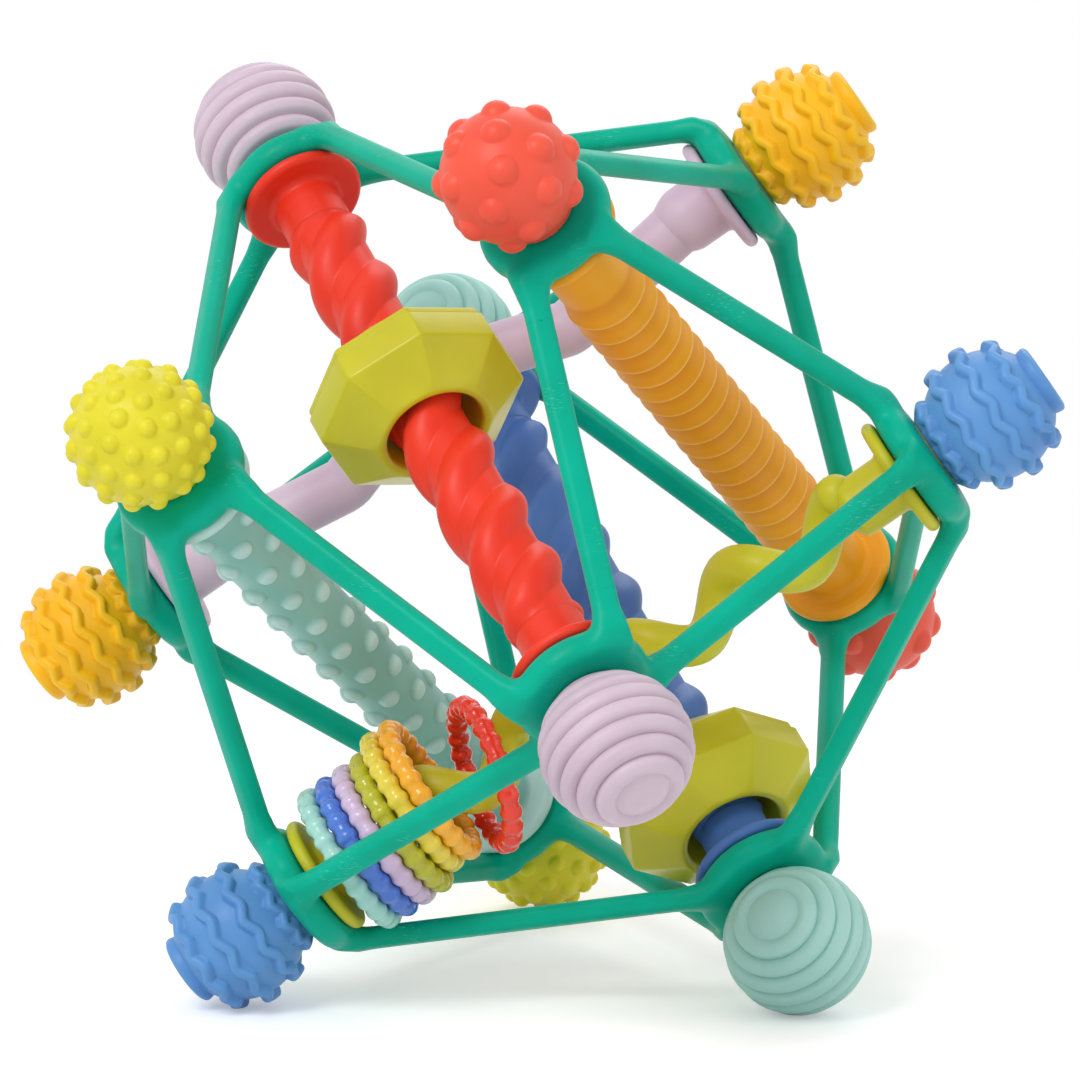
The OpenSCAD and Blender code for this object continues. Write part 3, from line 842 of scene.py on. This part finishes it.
def mirrored(outline):
    """The same outline below the middle, drawn from the other end."""
    return [(r, -z) for r, z in reversed(outline)]


def two_ends(name, grip_r, plain, start_r, taper):
    """Both rod ends, each closed by a rounded taper where the grip's shape goes into it."""
    inside = FLANGE_FACE - plain
    nose = [(0, inside)]
    for n in range(NOSE_STEPS + 1):
        f = n / NOSE_STEPS
        nose.append((start_r + (grip_r - start_r) * math.sin(math.pi / 2 * f), inside + taper * f))
    upper = lathe(name, nose + end_outline(grip_r))
    lower = copy_of(upper, name + "_low")
    lower.data.transform(Matrix.Diagonal((1, 1, -1, 1)))
    lower.data.flip_normals()
    return [upper, lower]


def dress_rod(piece, rod, smooth=35):
    """Puts a rod's mesh in place and lets it turn with the rod."""
    piece.name = f"{rod}_rod_moulding"
    put(piece, rod_frame(rod), ROD_FINISH[rod], smooth)
    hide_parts(f"{rod}_rod")
    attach(piece, f"{rod}_rod")
    print(rod, "rod of", len(piece.data.polygons), "faces")


print("flanges", round(FLANGE_FACE, 2), "mm from a rod's middle")

# %% [markdown]
# The red and blue rods carry two rounded ridges that wind along them. A ring of points is pushed
# out under the ridges, and the Screw modifier winds that ring along the rod.

# %% Twisted rods
TWIST_CORE = 10.0
TWIST_RIDGE = 1.5
TWIST_PLAIN = 7.0
TWIST_LEAD = 24.8
TWIST_START = math.radians(-62)
RIDGE_HALF = math.radians(62)
RIDGE_RUN_OUT = 3.0
TWIST_SIDES = 96
TWIST_STEPS = 160
TWIST_COVER = 0.15
TWIST_LAP = 0.6
TWIST_NOSE_R = 4.6
TWIST_TAPER = 0.8


def lift_ridges(points):
    """Pushes the ring of points outwards under the two ridges."""
    turn = np.arctan2(points[:, 1], points[:, 0]) - TWIST_START
    off = turn - np.pi * np.round(turn / np.pi)
    lift = np.where(abs(off) < RIDGE_HALF, TWIST_RIDGE * np.cos(off * (np.pi / 2) / RIDGE_HALF), 0)
    ring = points.copy()
    ring[:, :2] *= (1 + lift / (TWIST_CORE / 2))[:, None]
    return ring


def fade_ridges(points):
    """Lets the ridges run out gently towards both ends of the grip."""
    left = np.clip((FLANGE_FACE - TWIST_PLAIN - abs(points[:, 2])) / RIDGE_RUN_OUT, 0, 1)
    r = np.hypot(points[:, 0], points[:, 1])
    kept = TWIST_CORE / 2 + (r - TWIST_CORE / 2) * np.sin(left * np.pi / 2)
    faded = points.copy()
    faded[:, :2] *= (kept / r)[:, None]
    return faded


def twist_grip():
    """The wound middle of a twisted rod, closed at both ends."""
    length = 2 * (FLANGE_FACE - TWIST_PLAIN)
    only(None)
    bpy.ops.mesh.primitive_circle_add(vertices=TWIST_SIDES, radius=TWIST_CORE / 2 * MM,
                                      location=(0, 0, -length / 2 * MM))
    grip = bpy.context.object
    bpy.ops.object.transform_apply(location=True)
    shape_by(grip, lift_ridges)
    apply_modifier(grip, "SCREW", axis="Z", angle=math.tau * length / TWIST_LEAD,
                   screw_offset=length * MM, iterations=1, steps=TWIST_STEPS,
                   render_steps=TWIST_STEPS, use_smooth_shade=True)
    shape_by(grip, fade_ridges)
    only(grip)
    bpy.ops.object.mode_set(mode="EDIT")
    bpy.ops.mesh.select_all(action="SELECT")
    bpy.ops.mesh.remove_doubles(threshold=WELD)
    bpy.ops.mesh.select_all(action="DESELECT")
    bpy.ops.mesh.select_non_manifold()
    bpy.ops.mesh.edge_face_add()
    close_up(grip)
    return grip


for rod in ("red", "blue"):
    ends = two_ends(f"{rod}_ends", TWIST_CORE / 2 + TWIST_COVER, TWIST_PLAIN + TWIST_LAP,
                    TWIST_NOSE_R, TWIST_TAPER)
    dress_rod(join([twist_grip()] + ends), rod, smooth=40)

# %% [markdown]
# The orange rod is a stack of shallow cups that all face its lower end. It is round, so one outline
# makes the whole rod. Each cup's rim is a small arc, because a moulded edge is never sharp.

# %% Ribbed orange rod
RIB_RIM = 12.8
RIB_ROOT = 11.0
RIB_PITCH = 4.3
RIB_CUPS = 18
RIB_END = 11.4
RIB_EDGE = 0.14
CUP_BEND = 1.3
CUP_SHARES = (0.1, 0.25, 0.4, 0.6, 0.8, 1)
low = -RIB_CUPS * RIB_PITCH / 2

cups = []
for n in range(RIB_CUPS):
    z = low + n * RIB_PITCH
    cups += arc(RIB_RIM / 2 - RIB_EDGE, z + RIB_EDGE, RIB_EDGE, -90, 45, 5)
    for f in CUP_SHARES:
        cups.append((RIB_ROOT / 2 + (RIB_RIM - RIB_ROOT) / 2 * (1 - f) ** CUP_BEND, z + f * RIB_PITCH))
outline = mirrored(end_outline(RIB_END / 2)) + [(RIB_END / 2, low)] + cups + [(RIB_END / 2, -low)]
dress_rod(lathe("orange_rod", outline + end_outline(RIB_END / 2)), "orange", smooth=30)

# %% [markdown]
# The mint rod has rows of round bumps, each row shifted half a step against the next. A plain spun
# rod gets a fine mesh, and every vertex near a bump is then lifted on to the dome.

# %% Bumpy mint rod
DOT_CORE = 10.6
DOT_H = 1.1
DOT_D = 3.4
DOT_PITCH = 8.0
DOT_ROWS = 8
DOT_CLEAR = 5.0
MINT_RINGS = 420
GRIP_SKIN = 0.01
DOT_R = (DOT_D ** 2 / 4 + DOT_H ** 2) / (2 * DOT_H)


def raise_dots(points):
    """Lifts round domes out of the grip, on staggered rows."""
    turn = np.arctan2(points[:, 1], points[:, 0]) / math.tau * DOT_ROWS
    row = np.round(turn)
    across = (turn - row) / DOT_ROWS * math.pi * DOT_CORE
    shift = (row.astype(int) % 2) * 0.5
    step = np.round(points[:, 2] / DOT_PITCH - shift) + shift
    along_row = points[:, 2] - step * DOT_PITCH
    far = across ** 2 + along_row ** 2
    dome = np.sqrt(np.clip(DOT_R ** 2 - far, 0, None)) - DOT_R + DOT_H
    on_grip = np.hypot(points[:, 0], points[:, 1]) < DOT_CORE / 2 + GRIP_SKIN
    whole = abs(step * DOT_PITCH) < FLANGE_FACE - DOT_CLEAR
    keep = on_grip & whole & (abs(points[:, 2]) < FLANGE_FACE - FLANGE_T)
    lifted = points.copy()
    lifted[:, :2] *= (1 + np.where(keep, np.clip(dome, 0, None), 0) / (DOT_CORE / 2))[:, None]
    return lifted


grip_end = FLANGE_FACE - END_FILLET
grip = [(DOT_CORE / 2, grip_end * (2 * n / MINT_RINGS - 1)) for n in range(1, MINT_RINGS)]
outline = mirrored(end_outline(DOT_CORE / 2)) + grip + end_outline(DOT_CORE / 2)
mint_rod = lathe("mint_rod", outline, steps=160)
shape_by(mint_rod, raise_dots)
dress_rod(mint_rod, "mint", smooth=80)

# %% [markdown]
# The lilac rod bends from side to side in straight lengths, and the lime rod winds like a
# corkscrew. Both are round bars along a drawn line, which goes into thick plain ends.

# %% Zigzag lilac rod
ZIG_END_D = 10.4
ZIG_END_L = 8.5
ZIG_D = 8.6
ZIG_REACH = 3.4
ZIG_PARTS = 4
ZIG_TURN = math.radians(225)
ZIG_BEND = 1.0
ZIG_LAP = 3.0
ZIG_SINK = 0.3
ZIG_TAPER = 3.5
half = FLANGE_FACE - ZIG_END_L


def rounded_corners(points, cut):
    """Replaces each corner of a line by a short curve that starts and ends cut away from it."""
    line = [points[0]]
    for before, corner, after in zip(points, points[1:], points[2:]):
        a = corner + (before - corner).normalized() * cut
        b = corner + (after - corner).normalized() * cut
        line += [a.lerp(corner, f).lerp(corner.lerp(b, f), f) for f in (0, 0.25, 0.5, 0.75, 1)]
    return line + [points[-1]]


corners = [Vector((0, 0, -half - ZIG_LAP))]
for n in range(1, ZIG_PARTS):
    reach = ZIG_REACH if n % 2 == 1 else -ZIG_REACH
    height = (2 * n / ZIG_PARTS - 1) * half
    corners.append(Vector((reach * math.cos(ZIG_TURN), reach * math.sin(ZIG_TURN), height)))
corners.append(Vector((0, 0, half + ZIG_LAP)))
bar = tube("lilac_bar", rounded_corners(corners, ZIG_BEND), ZIG_D, sides=40)
ends = two_ends("lilac_ends", ZIG_END_D / 2, ZIG_END_L, ZIG_D / 2 - ZIG_SINK, ZIG_TAPER)
dress_rod(join([bar] + ends), "lilac", smooth=40)

# %% Corkscrew lime rod
CORK_END_D = 9.2
CORK_END_L = 9.0
CORK_D = 6.2
CORK_REACH = 3.2
CORK_PITCH = 19.0
CORK_START = math.radians(-46)
CORK_STEPS = 28
CORK_LAP = 0.75
CORK_NOSE_R = 2.5
CORK_TAPER = 2.0
half = FLANGE_FACE - CORK_END_L + CORK_LAP


def cork_point(z):
    """A point of the corkscrew's middle line."""
    turn = CORK_START + math.tau * z / CORK_PITCH
    return (CORK_REACH * math.cos(turn), CORK_REACH * math.sin(turn), z)


def round_end(z):
    """A sphere that rounds off an end of the corkscrew."""
    only(None)
    bpy.ops.mesh.primitive_uv_sphere_add(segments=40, ring_count=20, radius=CORK_D / 2 * MM)
    ball = bpy.context.object
    ball.data.transform(Matrix.Translation(Vector(cork_point(z)) * MM))
    return ball


count = int(2 * half / CORK_PITCH * CORK_STEPS)
line = [cork_point((2 * n / count - 1) * half) for n in range(count + 1)]
bar = tube("lime_bar", line, CORK_D, sides=40)
ends = two_ends("lime_ends", CORK_END_D / 2, CORK_END_L, CORK_NOSE_R, CORK_TAPER)
dress_rod(join([bar, round_end(half), round_end(-half)] + ends), "lime", smooth=50)

# %% [markdown]
# ## The balls
# Every ball snaps on to its rod's peg, with a flat seat just outside the eye. The textures are for
# small fingers and gums: ribs, large and small bumps, and zigzag bands. The skins stay a hair
# inside the solids.

# %% Sizes and placing of the balls
BALL_D = 22.0
SEAT_R = 5.6
SEAT = math.sqrt(BALL_D ** 2 / 4 - SEAT_R ** 2)
BALL_REACH = SEAT_FACE + SEAT
SKIN_INSIDE = 0.05
BALL_R = BALL_D / 2 - SKIN_INSIDE
SEAT_EDGE = 0.7


def dress_balls(master, ball, smooth):
    """Copies a ball to both ends of its rod and lets it turn with the rod."""
    rod = RODS[BALLS.index(ball)]
    for end, e in ENDS.items():
        piece = copy_of(master, f"{ball}_ball_{end}_skin")
        out = Matrix.Diagonal((1, 1, e, 1)) @ Matrix.Translation((0, 0, BALL_REACH * MM))
        put(piece, rod_frame(rod) @ out, BALL_FINISH[ball], smooth)
        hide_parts(f"{ball}_ball_{end}")
        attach(piece, f"{rod}_rod")
    print(ball, "balls of", len(master.data.polygons), "faces")
    bpy.data.objects.remove(master)


def flat_seat(piece):
    """Draws the underside down to a flat round seat, with a short slope round it."""
    def press(points):
        pressed = points.copy()
        far = np.hypot(points[:, 0], points[:, 1])
        share = np.where(points[:, 2] < 0, np.clip((SEAT_R + SEAT_EDGE - far) / SEAT_EDGE, 0, 1), 0)
        pressed[:, 2] = np.maximum(points[:, 2] * (1 - share) - SEAT * share, -SEAT)
        return pressed

    shape_by(piece, press)
    return piece


print("ball centres", round(BALL_REACH, 2), "mm from a rod's middle")

# %% [markdown]
# A ribbed ball is spun from one outline: round ribs with a crease between each two, and a smooth
# cap at each pole. The lilac ball's ribs run round its rod, and the mint ball's ribs run along it.

# %% Ribbed balls
BALL_RIBS = 8
# Latitude of the last crease, in degrees
RIB_CAP = 66
RIB_STEPS = 14
GROOVE = 0.95
CAP_RISE = 0.4
RIB_SOFT = 1.6


def ribbed_ball(name):
    """A ball of round ribs about the z axis."""
    count = BALL_RIBS * RIB_STEPS
    outline = []
    for n in range(count + 1):
        a = math.radians((2 * n / count - 1) * RIB_CAP)
        r = BALL_R - GROOVE * (1 - abs(math.sin(math.pi * n / RIB_STEPS))) ** RIB_SOFT
        outline.append((r * math.cos(a), r * math.sin(a)))
    cap = []
    for n in range(1, RIB_STEPS + 1):
        a = math.radians(RIB_CAP + (90 - RIB_CAP) * n / RIB_STEPS)
        r = BALL_R - GROOVE + CAP_RISE * math.sin(math.pi / 2 * n / RIB_STEPS)
        cap.append((r * math.cos(a), r * math.sin(a)))
    return lathe(name, mirrored(cap) + outline + cap, steps=128)


dress_balls(flat_seat(ribbed_ball("lilac_ball")), "lilac", smooth=60)
mint_ball = ribbed_ball("mint_ball")
mint_ball.data.transform(Matrix.Rotation(math.radians(90), 4, "Y"))
dress_balls(flat_seat(mint_ball), "mint", smooth=60)

# %% [markdown]
# A bumpy ball starts as a fine sphere. Each vertex moves out to the highest of the ball and the
# bumps, and a small blend between them gives the soft fillet that a mould leaves. The bumps are
# spread evenly by the golden angle.

# %% Bumpy balls
GOLDEN = math.radians(137.508)
BUMP_FILLET = 0.22


def spread(count):
    """Directions spread evenly over a ball."""
    n = np.arange(count)
    z = 1 - (2 * n + 1) / count
    across = np.sqrt(1 - z * z)
    return np.stack([across * np.cos(n * GOLDEN), across * np.sin(n * GOLDEN), z], axis=1)


def bumpy_ball(name, count, height, bump_r):
    """A sphere with round bumps of radius bump_r that stand height above it."""
    only(None)
    bpy.ops.mesh.primitive_ico_sphere_add(subdivisions=7, radius=BALL_R * MM)
    ball = bpy.context.object
    ball.name = name
    ways = spread(count)
    ways = ways[ways[:, 2] * BALL_R > bump_r - SEAT]
    base = BALL_R - height

    def raise_bumps(points):
        unit = points / np.linalg.norm(points, axis=1)[:, None]
        near = np.clip((unit @ ways.T).max(axis=1), -1, 1)
        out = BALL_R - bump_r
        under = bump_r ** 2 - out ** 2 * (1 - near ** 2)
        top = np.where(under > 0, out * near + np.sqrt(np.clip(under, 0, None)), 0)
        mix = np.clip(0.5 + 0.5 * (top - base) / BUMP_FILLET, 0, 1)
        r = base * (1 - mix) + np.maximum(top, base - BUMP_FILLET) * mix + BUMP_FILLET * mix * (1 - mix)
        return unit * np.minimum(r, BALL_R)[:, None]

    shape_by(ball, raise_bumps)
    return flat_seat(ball)


dress_balls(bumpy_ball("coral_ball", count=26, height=1.2, bump_r=2.4), "coral", smooth=70)
dress_balls(bumpy_ball("yellow_ball", count=78, height=1.0, bump_r=1.45), "yellow", smooth=70)

# %% [markdown]
# A zigzag ball has wavy bands round it and one plain ring near its pole. A fine sphere is lifted
# where it lies close to a band's middle line. The line is a triangle wave with rounded corners, and
# the bands have rounded tops.

# %% Zigzag balls
BAND_H = 1.3
BAND_HALF = 1.0
BAND_TEETH = 12
BAND_SWING = math.radians(2.8)
BAND_LAST = math.radians(63)
WAVE_ROUND = 0.93
BAND_FLAT = 3
BAND_SHOULDER = 0.7
POLE_LIMIT = 0.2


def zigzag_ball(name, bands, first):
    """A sphere with zigzag bands, which climb from the latitude of the first one, in degrees."""
    only(None)
    bpy.ops.mesh.primitive_uv_sphere_add(segments=288, ring_count=176, radius=BALL_R * MM)
    ball = bpy.context.object
    ball.name = name
    first = math.radians(first)
    lows = [first + (BAND_LAST - first) * n / (bands - 1) for n in range(bands)]

    def raise_bands(points):
        unit = points / np.linalg.norm(points, axis=1)[:, None]
        height = np.arcsin(np.clip(unit[:, 2], -1, 1))
        phase = np.arctan2(unit[:, 1], unit[:, 0]) * BAND_TEETH
        corner = WAVE_ROUND * np.cos(phase)
        wave = np.arcsin(corner) / math.asin(WAVE_ROUND)
        slope = WAVE_ROUND * np.sin(phase) / np.sqrt(1 - corner ** 2) / math.asin(WAVE_ROUND)
        lift = np.zeros(len(points))
        for n, low in enumerate(lows):
            swing = BAND_SWING if n < bands - 1 else 0
            lean = slope * BAND_TEETH * swing / np.maximum(np.cos(height), POLE_LIMIT)
            far = abs(height - low - swing * wave) * BALL_R / np.sqrt(1 + lean ** 2)
            band = np.clip(1 - (far / BAND_HALF) ** BAND_FLAT, 0, 1) ** BAND_SHOULDER
            lift = np.maximum(lift, band)
        return unit * (BALL_R - BAND_H + BAND_H * lift)[:, None]

    shape_by(ball, raise_bands)
    return flat_seat(ball)


dress_balls(zigzag_ball("orange_ball", bands=6, first=-55.75), "orange", smooth=70)
dress_balls(zigzag_ball("blue_ball", bands=5, first=-50.3), "blue", smooth=70)

# %% [markdown]
# ## The rattle beads
# Each olive bead is a hollow eight-sided nut in two half shells, with pellets inside. A torus is
# already a closed loop swept round an axis, so its rings are moved on to the shell's section:
# eight-sided outside and round at the bore. A small bevel softens the corners, and the upper half
# is a little smaller, which leaves a step at the seam.

# %% Section of a half shell
BEAD_D = 32.0
BEAD_BORE = 14.8
BEAD_WALL = 1.6
BEAD_STEP = 0.5
BEAD_HALF_L = 8.3
BEAD_HALF_BAND = 3.2
BEAD_PARTING = 1.7


def shell_section(r, seam):
    """A half shell's section as (radius, height, roundness), from the seam, over the top, to the bore."""
    bore, lip, top = BEAD_BORE / 2, BEAD_BORE / 2 + BEAD_WALL, BEAD_HALF_L
    slope = (r - lip) / (top - BEAD_HALF_BAND)
    inner = r - BEAD_WALL * 1.1
    # Near the lip the points lie a few tenths of a millimetre apart, to round it off
    line = [(r, seam, 0), (r, (seam + BEAD_HALF_BAND) / 2, 0), (r, BEAD_HALF_BAND, 0)]
    line += [((r + lip) / 2, (BEAD_HALF_BAND + top) / 2, 0), (lip + 0.9, top - 0.9 / slope, 0.25)]
    line += [(lip + 0.2, top - 0.25, 0.7), (lip - 0.4, top, 1), (bore + 0.5, top - 0.12, 1)]
    line += [(bore + 0.12, top - 0.5, 1), (bore, top - 1.1, 1), (bore, seam, 1), (lip, seam, 1)]
    return line + [(lip, top - 2.6, 1), (inner, BEAD_HALF_BAND - 0.6, 0), (inner, seam, 0)]


print("a half shell's section has", len(shell_section(BEAD_D / 2, BEAD_PARTING)), "points")

# %% Model the half shells and put them on their rods
SEAM_GAP = 0.01
BEAD_GAPS = {"red": 35.4, "blue": 5.4}
BEAD_TURNS = {"red": math.radians(27), "blue": 0.0}
BEAD_SIDES = 8
SHELL_STEPS = 64
SHELL_BEVEL = 0.4


def half_shell(name, r, seam):
    """One half shell, which starts at the height of the seam."""
    section = shell_section(r, seam)
    only(None)
    bpy.ops.mesh.primitive_torus_add(major_segments=SHELL_STEPS, minor_segments=len(section),
                                     major_radius=BEAD_D * MM, minor_radius=BEAD_WALL * MM)
    shell = bpy.context.object
    shell.name = name

    def on_section(points):
        moved = np.empty_like(points)
        for step in range(SHELL_STEPS):
            a = math.tau * step / SHELL_STEPS
            side = (a % (math.tau / BEAD_SIDES)) - math.pi / BEAD_SIDES
            flat = math.cos(math.pi / BEAD_SIDES) / math.cos(side)
            for n, (radius, z, roundness) in enumerate(section):
                here = radius * (flat + (1 - flat) * roundness)
                moved[step * len(section) + n] = (here * math.cos(a), here * math.sin(a), z)
        return moved

    shape_by(shell, on_section)
    close_up(shell)
    apply_modifier(shell, "BEVEL", width=SHELL_BEVEL * MM, segments=3, limit_method="ANGLE",
                   angle_limit=math.radians(18), use_clamp_overlap=True)
    return shell


def bead_height(rod):
    """Where a bead sits: the red one is set from its rod's upper flange, the blue one from the lower."""
    free = FLANGE_FACE - BEAD_HALF_L - BEAD_GAPS[rod]
    return free if rod == "red" else -free


for rod in BEAD_GAPS:
    for end, e in ENDS.items():
        r = BEAD_D / 2 - (BEAD_STEP if e == 1 else 0)
        shell = half_shell(f"{rod}_bead_{end}_shell", r, e * BEAD_PARTING + SEAM_GAP)
        place = rod_frame(rod) @ Matrix.Translation((0, 0, bead_height(rod) * MM))
        place = place @ Matrix.Rotation(BEAD_TURNS[rod], 4, "Z") @ Matrix.Diagonal((1, 1, e, 1))
        put(shell, place, BEAD_FINISH, smooth=25)
        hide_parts(f"{rod}_bead_{end}_half")
        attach(shell, f"{rod}_bead")
    pellets = frame["nodes"][f"{rod}_bead_pellets"]
    pellets.data.materials.clear()
    pellets.data.materials.append(PELLET_FINISH)
print("four half shells of", len(shell.data.polygons), "faces")

# %% [markdown]
# ## The beaded rings
# Seven silicone rings hang loose on the corkscrew. A ring is a torus whose tube swells into a row
# of beads. Six lie stacked over the lower flange, and the red one leans on top of them.

# %% Rings on the lime rod
RINGS = ("mint", "blue", "lilac", "olive", "yellow", "orange", "red")
RING_R = 10.5
RING_BEAD_R = 1.5
RING_PLUMP = 1.12
RING_NECK_R = 1.2
RING_BEADS = 24
RINGS_STACKED = 6
RING_GAP = 0.12
RING_FOOT = 1.8
RING_HANG = 0.15
RING_LEAN = math.radians(27)
RING_FALL = math.radians(225)
RING_DROPS = {"yellow": -1.6, "orange": -1.6, "red": 1.2}


def swell(points):
    """Swells the tube of a torus into a row of beads."""
    turn = np.arctan2(points[:, 1], points[:, 0])
    middle_line = RING_R * np.stack([np.cos(turn), np.sin(turn), np.zeros(len(turn))], axis=1)
    along_bead = ((turn / math.tau * RING_BEADS + 0.5) % 1 * 2 - 1) * math.pi * RING_R / RING_BEADS
    r = RING_PLUMP * np.maximum(np.sqrt(RING_BEAD_R ** 2 - along_bead ** 2), RING_NECK_R)
    return middle_line + (points - middle_line) * (r / RING_BEAD_R)[:, None]


def ring_height(n):
    """Height of a ring's middle: six are stacked over the lower flange, and the last leans on them."""
    under = min(n, RINGS_STACKED - 1)
    height = RING_FOOT + RING_BEAD_R - FLANGE_FACE + under * (2 * RING_BEAD_R + RING_GAP)
    if n == RINGS_STACKED:
        height += 2 * RING_BEAD_R + RING_HANG + RING_R * math.sin(RING_LEAN)
    return height


only(None)
bpy.ops.mesh.primitive_torus_add(major_segments=RING_BEADS * 12, minor_segments=18,
                                 major_radius=RING_R * MM, minor_radius=RING_BEAD_R * MM)
master_ring = bpy.context.object
shape_by(master_ring, swell)
for n, ring in enumerate(RINGS):
    piece = copy_of(master_ring, f"{ring}_beaded_ring")
    drop = RING_DROPS.get(ring, 0)
    at = Vector((drop * math.cos(RING_FALL), drop * math.sin(RING_FALL), ring_height(n)))
    place = Matrix.Translation(at * MM) @ Matrix.Rotation(RING_LEAN if ring == "red" else 0, 4, "X")
    place = place @ Matrix.Rotation(n % 2 * math.pi / RING_BEADS, 4, "Z")
    put(piece, rod_frame("lime") @ place, RING_FINISH[ring], smooth=60)
    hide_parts(f"{ring}_ring")
    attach(piece, f"{ring}_ring")
print("seven rings of", len(master_ring.data.polygons), "faces")
bpy.data.objects.remove(master_ring)
